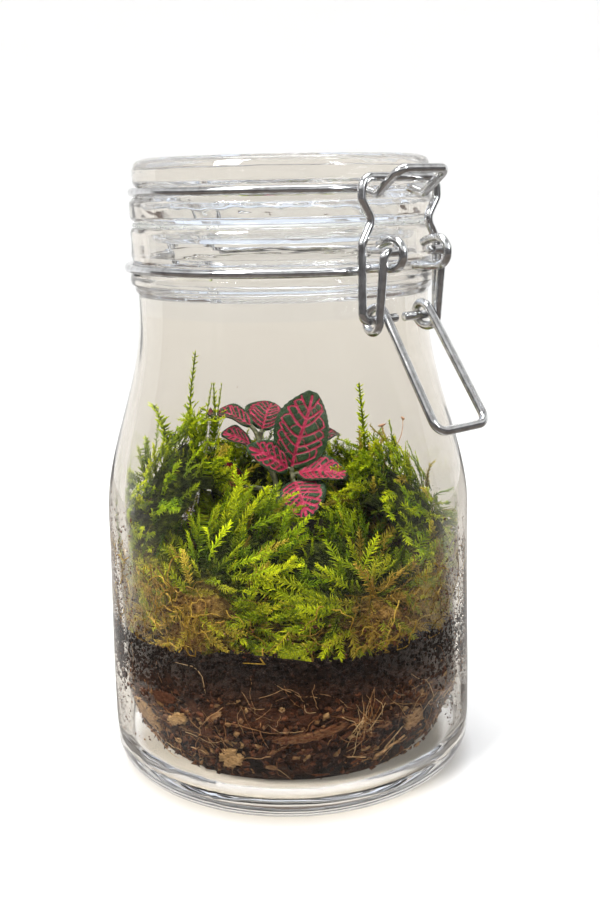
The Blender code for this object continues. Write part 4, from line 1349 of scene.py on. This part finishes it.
# ---------------------------------------------------------------- fittonia
TEETH = 17                   # faint teeth along each side of a leaf
FINER_MESH_FROM, MORE_VEINS_FROM = 8, 5    # half widths of leaves that get these
# name, base and tip (side, depth, height), half width, bend, and which way the blade's
# upper face looks (to the right, behind, up)
LEAVES = [
    ("leaf_upright", (1.9, 0.0, 91.3), (8.6, 4.0, 114.5), 8.8, 1.6, (-0.15, -0.95, 0.3)),
    ("leaf_left", (0.3, -1.6, 91.4), (-12.2, -7.0, 99.4), 5.0, 1.0, (0.1, -0.8, 0.6)),
    ("leaf_right", (4.0, -1.8, 89.8), (18.6, -8.0, 90.0), 5.2, 1.8, (0.1, -0.62, 0.78)),
    ("leaf_lower", (2.6, -4.6, 87.8), (6.2, -14.4, 78.8), 7.4, 1.8, (0.0, -0.77, 0.64)),
    ("leaf_back_left", (-11.4, 6.6, 103.2), (-23.6, 9.6, 107.0), 5.4, 1.4, (0, -0.2, 1)),
    ("leaf_back", (-8.4, 9.4, 101.4), (-4.4, 16.0, 109.0), 6.6, 1.6, (-0.2, -0.8, 0.5)),
    ("leaf_far_left", (-11.6, 4.4, 97.6), (-20.6, 0.8, 101.8), 4.2, 1.0, (0, -0.5, 0.85)),
    ("leaf_back_right", (6.6, 8.6, 96.8), (17.0, 16.0, 98.6), 5.6, 1.4, (0, -0.3, 1)),
    ("leaf_small", (-14.6, 0.8, 85.4), (-19.0, -3.0, 94.4), 3.2, 0.6, (-0.2, -0.9, 0.3)),
]


def vein_lines(rng, length, half_width, laterals):
    """Runs of the vein net in the blade's plane: (points, half thickness)."""
    lines = [(np.array([(0.0, 0.0), (0.93 * length, 0.0)]), 0.62)]

    def edge(x):
        return half_width * leaf_outline(np.clip(x / length, 0, 1))

    for side in (1, -1):
        tips = []
        for k in range(laterals):
            x0 = length * (0.05 + 0.80 * (k + 0.25 * rng.random()) / laterals)
            reach = min(x0 + length * (0.20 + 0.02 * rng.normal()), 0.965 * length)
            t = np.linspace(0, 1, 9)
            x = x0 + (reach - x0) * t ** 1.35
            y = 0.80 * edge(reach) * t ** 0.92
            lines.append((np.stack([x, side * y], -1), 0.36))
            tips.append((reach, y[-1], x, y))
        for (xa, ya, _, _), (_, _, bx, by) in zip(tips, tips[1:]):
            xb, yb = bx[6], by[6]
            lines.append((np.array([(xa, side * ya), ((xa + xb) / 2 + 0.3,
                                                      side * (ya + yb + 0.8) / 2),
                                    (xb, side * yb)]), 0.26))
        for (_, _, ax, ay), (_, _, bx, by) in zip(tips, tips[1:]):
            for spot in (3, 5):
                j = min(spot + int(rng.integers(-1, 2)), 8)
                a = np.array((ax[j], side * ay[j]))
                b = np.array((bx[max(j - 2, 0)], side * by[max(j - 2, 0)]))
                bend = (a + b) / 2 + rng.normal(0, 0.25, 2)
                lines.append((np.array([a, bend, b]), 0.13))
    return lines


def leaf_outline(t):
    """Half width along a blade as a share of its widest: oval with a short point."""
    t = np.asarray(t, float)
    return np.sin(math.pi * np.clip(0.03 + 0.95 * t ** 0.92, 0, 1)) ** 0.62


def near_lines(points, lines):
    """Vein strength from 0 to 1 at points in the blade's plane."""
    best = np.zeros(len(points))
    for run, half in lines:
        for a, b in zip(run, run[1:]):
            step = b - a
            t = np.clip(((points - a) @ step) / max(step @ step, 1e-9), 0, 1)
            gap = np.linalg.norm(points - (a + t[:, None] * step), axis=1)
            best = np.maximum(best, 1 - smooth_step(gap / (half * 1.2 * 1.25)))
    return best


def build_leaf(name, base, tip, half_width, bend, facing, mat, rng, pinkness):
    """A blade as a thin closed sheet, cupped, arched and quilted between its veins."""
    run = np.subtract(tip, base)
    length = np.linalg.norm(run)
    forward = run / length
    width = unit(np.cross(forward, facing))
    normal = unit(np.cross(width, forward))
    along, across = (96, 60) if half_width > FINER_MESH_FROM else (64, 36)
    t = np.linspace(0, 1, along + 1)[:, None]
    s = np.linspace(-1, 1, across + 1)[None, :]
    teeth = 1 + 0.020 * np.sin(t * 2 * math.pi * TEETH + 3 * s) * (np.abs(s) > 0.8)
    half = half_width * leaf_outline(t) * teeth
    x, y = t * length + 0 * s, half * s
    lines = vein_lines(rng, length, half_width, 7 if half_width > MORE_VEINS_FROM else 5)
    vein = near_lines(np.stack([x.ravel(), y.ravel()], -1), lines).reshape(x.shape)
    vein = vein * smooth_step((1 - np.abs(s)) * half / 0.8)
    puff = 0.42 * (1 - vein) * smooth_step((1 - np.abs(s)) * 2.5) * min(half_width / 6, 1)
    cup = 1.5 * (s ** 2) * half / half_width
    wave = 0.35 * np.sin(t * 9 + 2.0 * np.sign(s)) * np.abs(s) ** 2 * half / half_width
    arch = bend * np.sin(math.pi * t)
    middle = base + forward * x[..., None] + normal * arch[..., None]
    skins = []
    for level, bulge in ((0.28, puff), (-0.22, puff * 0.8)):    # upper skin, lower skin
        edge = np.where((np.abs(s) > 0.98) | (t < 0.005) | (t > 0.995), 0.35, 1.0)
        lift = cup + wave + bulge + level * edge
        skins.append(middle + width * y[..., None] + normal * lift[..., None])
    data = np.zeros((2, along + 1, across + 1, 3))
    data[0, ..., 0] = np.clip(vein + pinkness * smooth_step(1.3 - np.abs(s) * 1.2), 0, 1)
    data[1, ..., 0] = vein
    data[1, ..., 1] = 1.0
    shape = Shape().add(planted(skins), None, sheet_faces(along + 1, across + 1),
                        data.reshape(-1, 3))
    piece(name + "_blade", shape, mat, name)


STEMS = [
    ("stem_front", [(1.5, -1.0, 73.0), (1.9, -1.6, 82.0), (2.2, -2.0, 87.0),
                    (1.6, -1.0, 91.0)]),
    ("stem_back_left", [(-3.0, 3.0, 73.0), (-4.6, 4.2, 86.0), (-8.2, 5.0, 95.0),
                        (-9.8, 6.2, 101.6)]),
    ("stem_back_right", [(3.6, 4.4, 73.0), (4.4, 5.6, 86.0), (5.2, 7.4, 97.0)]),
]
PETIOLES = [((1.6, -1.1, 89.8), "leaf_upright"), ((1.7, -1.2, 90.2), "leaf_left"),
            ((1.9, -1.5, 88.6), "leaf_right"), ((2.1, -2.0, 86.6), "leaf_lower"),
            ((-9.4, 5.8, 99.6), "leaf_back_left"), ((-9.2, 6.0, 98.8), "leaf_back"),
            ((-8.2, 5.0, 94.8), "leaf_far_left"), ((5.0, 7.0, 95.0), "leaf_back_right"),
            ((-4.0, 3.6, 82.0), "leaf_small")]


def build_plant(leaf_mat, stem_mat, rng):
    """The fittonia: its leaves, stems, and the stalks that join them."""
    pinkness = {"leaf_left": 0.22, "leaf_right": 0.26, "leaf_lower": 0.10,
                "leaf_small": 0.10, "leaf_back_left": -0.25, "leaf_back": -0.22,
                "leaf_far_left": -0.10, "leaf_back_right": -0.2}
    bases = {}
    for name, base, tip, half_width, bend, facing in LEAVES:
        build_leaf(name, base, tip, half_width, bend, facing, leaf_mat, rng,
                   pinkness.get(name, 0.0))
        bases[name] = np.array(base)
    for name, route in STEMS:
        line = curved(route, 10)
        size = 1.0 + 0.10 * np.sin(np.arange(len(line)) * 1.1)
        shape = Shape().add(*sweep(planted(line), size, 10), data=(0.5, 0, 0))
        piece(name + "_stalk", shape, stem_mat, name)
    shape = Shape()
    for start, leaf in PETIOLES:
        end = bases[leaf]
        line = curved([start, (np.array(start) + end) / 2 + (0, 0, 0.5), end,
                       end + (end - np.array(start)) * 0.15], 6)
        shape.add(*sweep(planted(line), np.linspace(0.75, 0.5, len(line)), 8),
                  data=(0.5, 0, 0))
    piece("petioles", shape, stem_mat)


# ---------------------------------------------------------------- moss fruit
SPOROPHYTES = [
    ("sporophyte_tall", (32.6, 5.0), (4.5, 3.0, 8.6)),
    ("sporophyte_short", (28.6, 2.0), (0.6, 1.0, 5.6)),
]


def build_sporophytes(mat):
    """Moss fruits: hair-thin stalks that swell into a pointed capsule."""
    for name, (side, depth), head in SPOROPHYTES:
        start = np.array((side, depth, moss_top(side, depth) - 2.0))
        end = start + np.array(head) + (0, 0, 2.3)
        middle = start + (end - start) * 0.55 + (0.8, 0, 0.4)
        line = curved([start, middle, end], 16)
        t = np.linspace(0, 1, len(line))
        tip = 1 - 0.9 * smooth_step((t - 0.97) / 0.03)
        size = 0.16 + 0.78 * (smooth_step((t - 0.84) / 0.10) * tip)
        shape = Shape().add(*sweep(planted(line), size, 10), data=(0.5, 0, 0))
        piece(name + "_fruit", shape, mat, name)


# ---------------------------------------------------------------- camera, light and stage
LENS, PITCH, ROLL = 47.6, math.radians(12.46), math.radians(-1.1)
CAMERA_PLACE = (0.004, 0.358, 0.176)  # metres to the planting's right, before it, and up
LIT = Vector((0, 0, 0.09))            # where the lights point, in metres


def build_camera():
    right = Vector((math.cos(PLANTING_TURN), math.sin(PLANTING_TURN), 0))
    back = Vector((math.sin(PLANTING_TURN), -math.cos(PLANTING_TURN), 0))
    data = bpy.data.cameras.new("camera")
    data.lens, data.sensor_width = LENS, 36.0
    camera = linked("camera", data)
    side, away, up = CAMERA_PLACE
    camera.location = right * side + back * away + Vector((0, 0, up))
    look = -back * math.cos(PITCH) + Vector((0, 0, -math.sin(PITCH)))
    camera.rotation_mode = "QUATERNION"
    camera.rotation_quaternion = (look.to_track_quat("-Z", "Y")
                                  @ Quaternion((0, 0, 1), ROLL))
    bpy.context.scene.camera = camera


def add_light(name, side, toward, height, size, power, colour):
    """A panel in metres: to the camera's right, towards the camera, and up."""
    data = bpy.data.lights.new(name, "AREA")
    data.shape = "RECTANGLE"
    data.size, data.size_y = size
    data.energy = power
    data.color = colour
    light = linked(name, data)
    light.location = Vector(planted((side, -toward, height)))
    light.rotation_mode = "QUATERNION"
    light.rotation_quaternion = (LIT - light.location).to_track_quat("-Z", "Y")


def card(name, outline, spread_deg, colour, seen_through):
    """A sheet curved round the set, its middle at the camera's side, as a studio's flags
    are. No camera sees it: it shows either through the glass or in reflections."""
    n = Nodes(name + "_card")
    n.colour(n.mix(n.noise(4, 2), colour, tuple(c * 1.06 for c in colour)))
    n.roughness(n.span(n.noise(9, 2), 0.3, 0.7, 0.8, 0.9))
    turn = np.radians(np.linspace(-spread_deg / 2, spread_deg / 2, 73) - 90)
    grid = np.array([polar(r, turn, z) for r, z in outline])
    shape = Shape().add(planted(grid), None, grid_quads(len(outline), len(turn)))
    obj = linked(name, shape.mesh(name, n.mat))
    obj.visible_camera = obj.visible_shadow = obj.visible_diffuse = False
    obj.visible_transmission = seen_through
    obj.visible_glossy = not seen_through


def build_cards():
    """The room round the set: beige through the glass, and dark in what shines."""
    card("beige_room", ((58, 0.3), (150, 0.3), (400, 0.3), (500, 8), (580, 35), (640, 80),
                        (680, 140), (700, 200), (700, 280)), 360, (0.44, 0.412, 0.367),
         True)
    card("brown_band", ((700, 280), (700, 350), (700, 420)), 360, (0.085, 0.062, 0.048),
         True)
    card("pale_band", ((700, 420), (700, 600), (700, 900)), 360, (0.47, 0.52, 0.60), True)
    card("grey_table", ((66, 0.4), (150, 0.4), (400, 0.4), (650, 0.4)), 360,
         (0.25, 0.24, 0.23), False)
    card("dark_table", ((112, 0.5), (250, 0.5), (400, 0.5), (650, 0.5)), 210,
         (0.080, 0.066, 0.056), False)
    card("dark_wall", ((650, 0.5), (650, 150), (650, 330)), 210, (0.080, 0.077, 0.078),
         False)


def build_stage():
    """Floor and backdrop in one: a wide bowl of paper, white from every side."""
    rings = np.concatenate([[(400, 0), (900, 0)], arc((900, 600), 600, -85, 0, 18),
                            [(1500, 1500)]])
    steps = 96
    verts = polar(rings[:, :1], circle(steps), rings[:, 1:]).reshape(-1, 3)
    shape = Shape().add(np.concatenate([verts, [(0, 0, 0)]]) - (0, 0, 0.15),
                        fan(len(verts), 0, steps),
                        grid_quads(len(rings), steps, wrap=True)[:, ::-1])
    linked("studio_bowl", shape.mesh("studio_bowl", stage_material()))


def build_lights():
    scene = bpy.context.scene
    world = bpy.data.worlds.new("studio")
    scene.world = world
    world.use_nodes = True
    background = world.node_tree.nodes["Background"]
    background.inputs["Color"].default_value = (1.0, 1.0, 1.0, 1.0)
    background.inputs["Strength"].default_value = 0.45
    add_light("key", -0.50, 0.50, 0.85, (0.32, 0.32), 12, (1, 0.98, 0.95))
    add_light("fill", 0.62, 0.62, 0.50, (0.12, 0.6), 3.2, (0.93, 0.96, 1))
    add_light("top", 0.0, -0.1, 1.1, (0.7, 0.7), 8.0, (1, 1, 1))
    build_cards()
    scene.view_settings.view_transform = "Standard"
    # glass seen through glass goes black at the default bounces
    scene.cycles.max_bounces = scene.cycles.transmission_bounces = 24
    scene.cycles.glossy_bounces = 16


# ---------------------------------------------------------------- everything
def build():
    build_camera()
    build_stage()
    build_lights()
    jar_glass = glass_material("pressed_glass", (0.968, 0.966, 0.960),
                               (0.950, 0.946, 0.936), 0.06, (1, 1, 0.5),
                               (0.13, 0.135, 0.15, 1.0))
    lid_glass = glass_material("lid_glass", (0.962, 0.970, 0.978), (0.935, 0.942, 0.950),
                               0.22, (0.5, 0.5, 5.0), (1.0, 1.0, 1.0, 1.0))
    build_glass(jar_glass, lid_glass, silicone_material())
    build_wires(steel_material())
    build_soil(peat_material())
    bark = litter_material("bark_and_litter", (0.010, 0.0045, 0.0025), (0.12, 0.040, 0.015),
                           (0.43, 0.265, 0.110))
    strands = litter_material("dry_fibres", (0.12, 0.038, 0.012), (0.33, 0.150, 0.050),
                              (0.60, 0.41, 0.20))
    build_litter(bark, strands)
    build_bark(bark, strands)
    build_moss(moss_material(), moss_core_material())
    rng = np.random.default_rng(3)
    build_plant(leaf_material(), stem_material("green_stem", (0.018, 0.026, 0.007),
                                               (0.085, 0.075, 0.028)), rng)
    build_sporophytes(stem_material("moss_fruit", (0.16, 0.075, 0.035),
                                    (0.42, 0.24, 0.13)))


build()
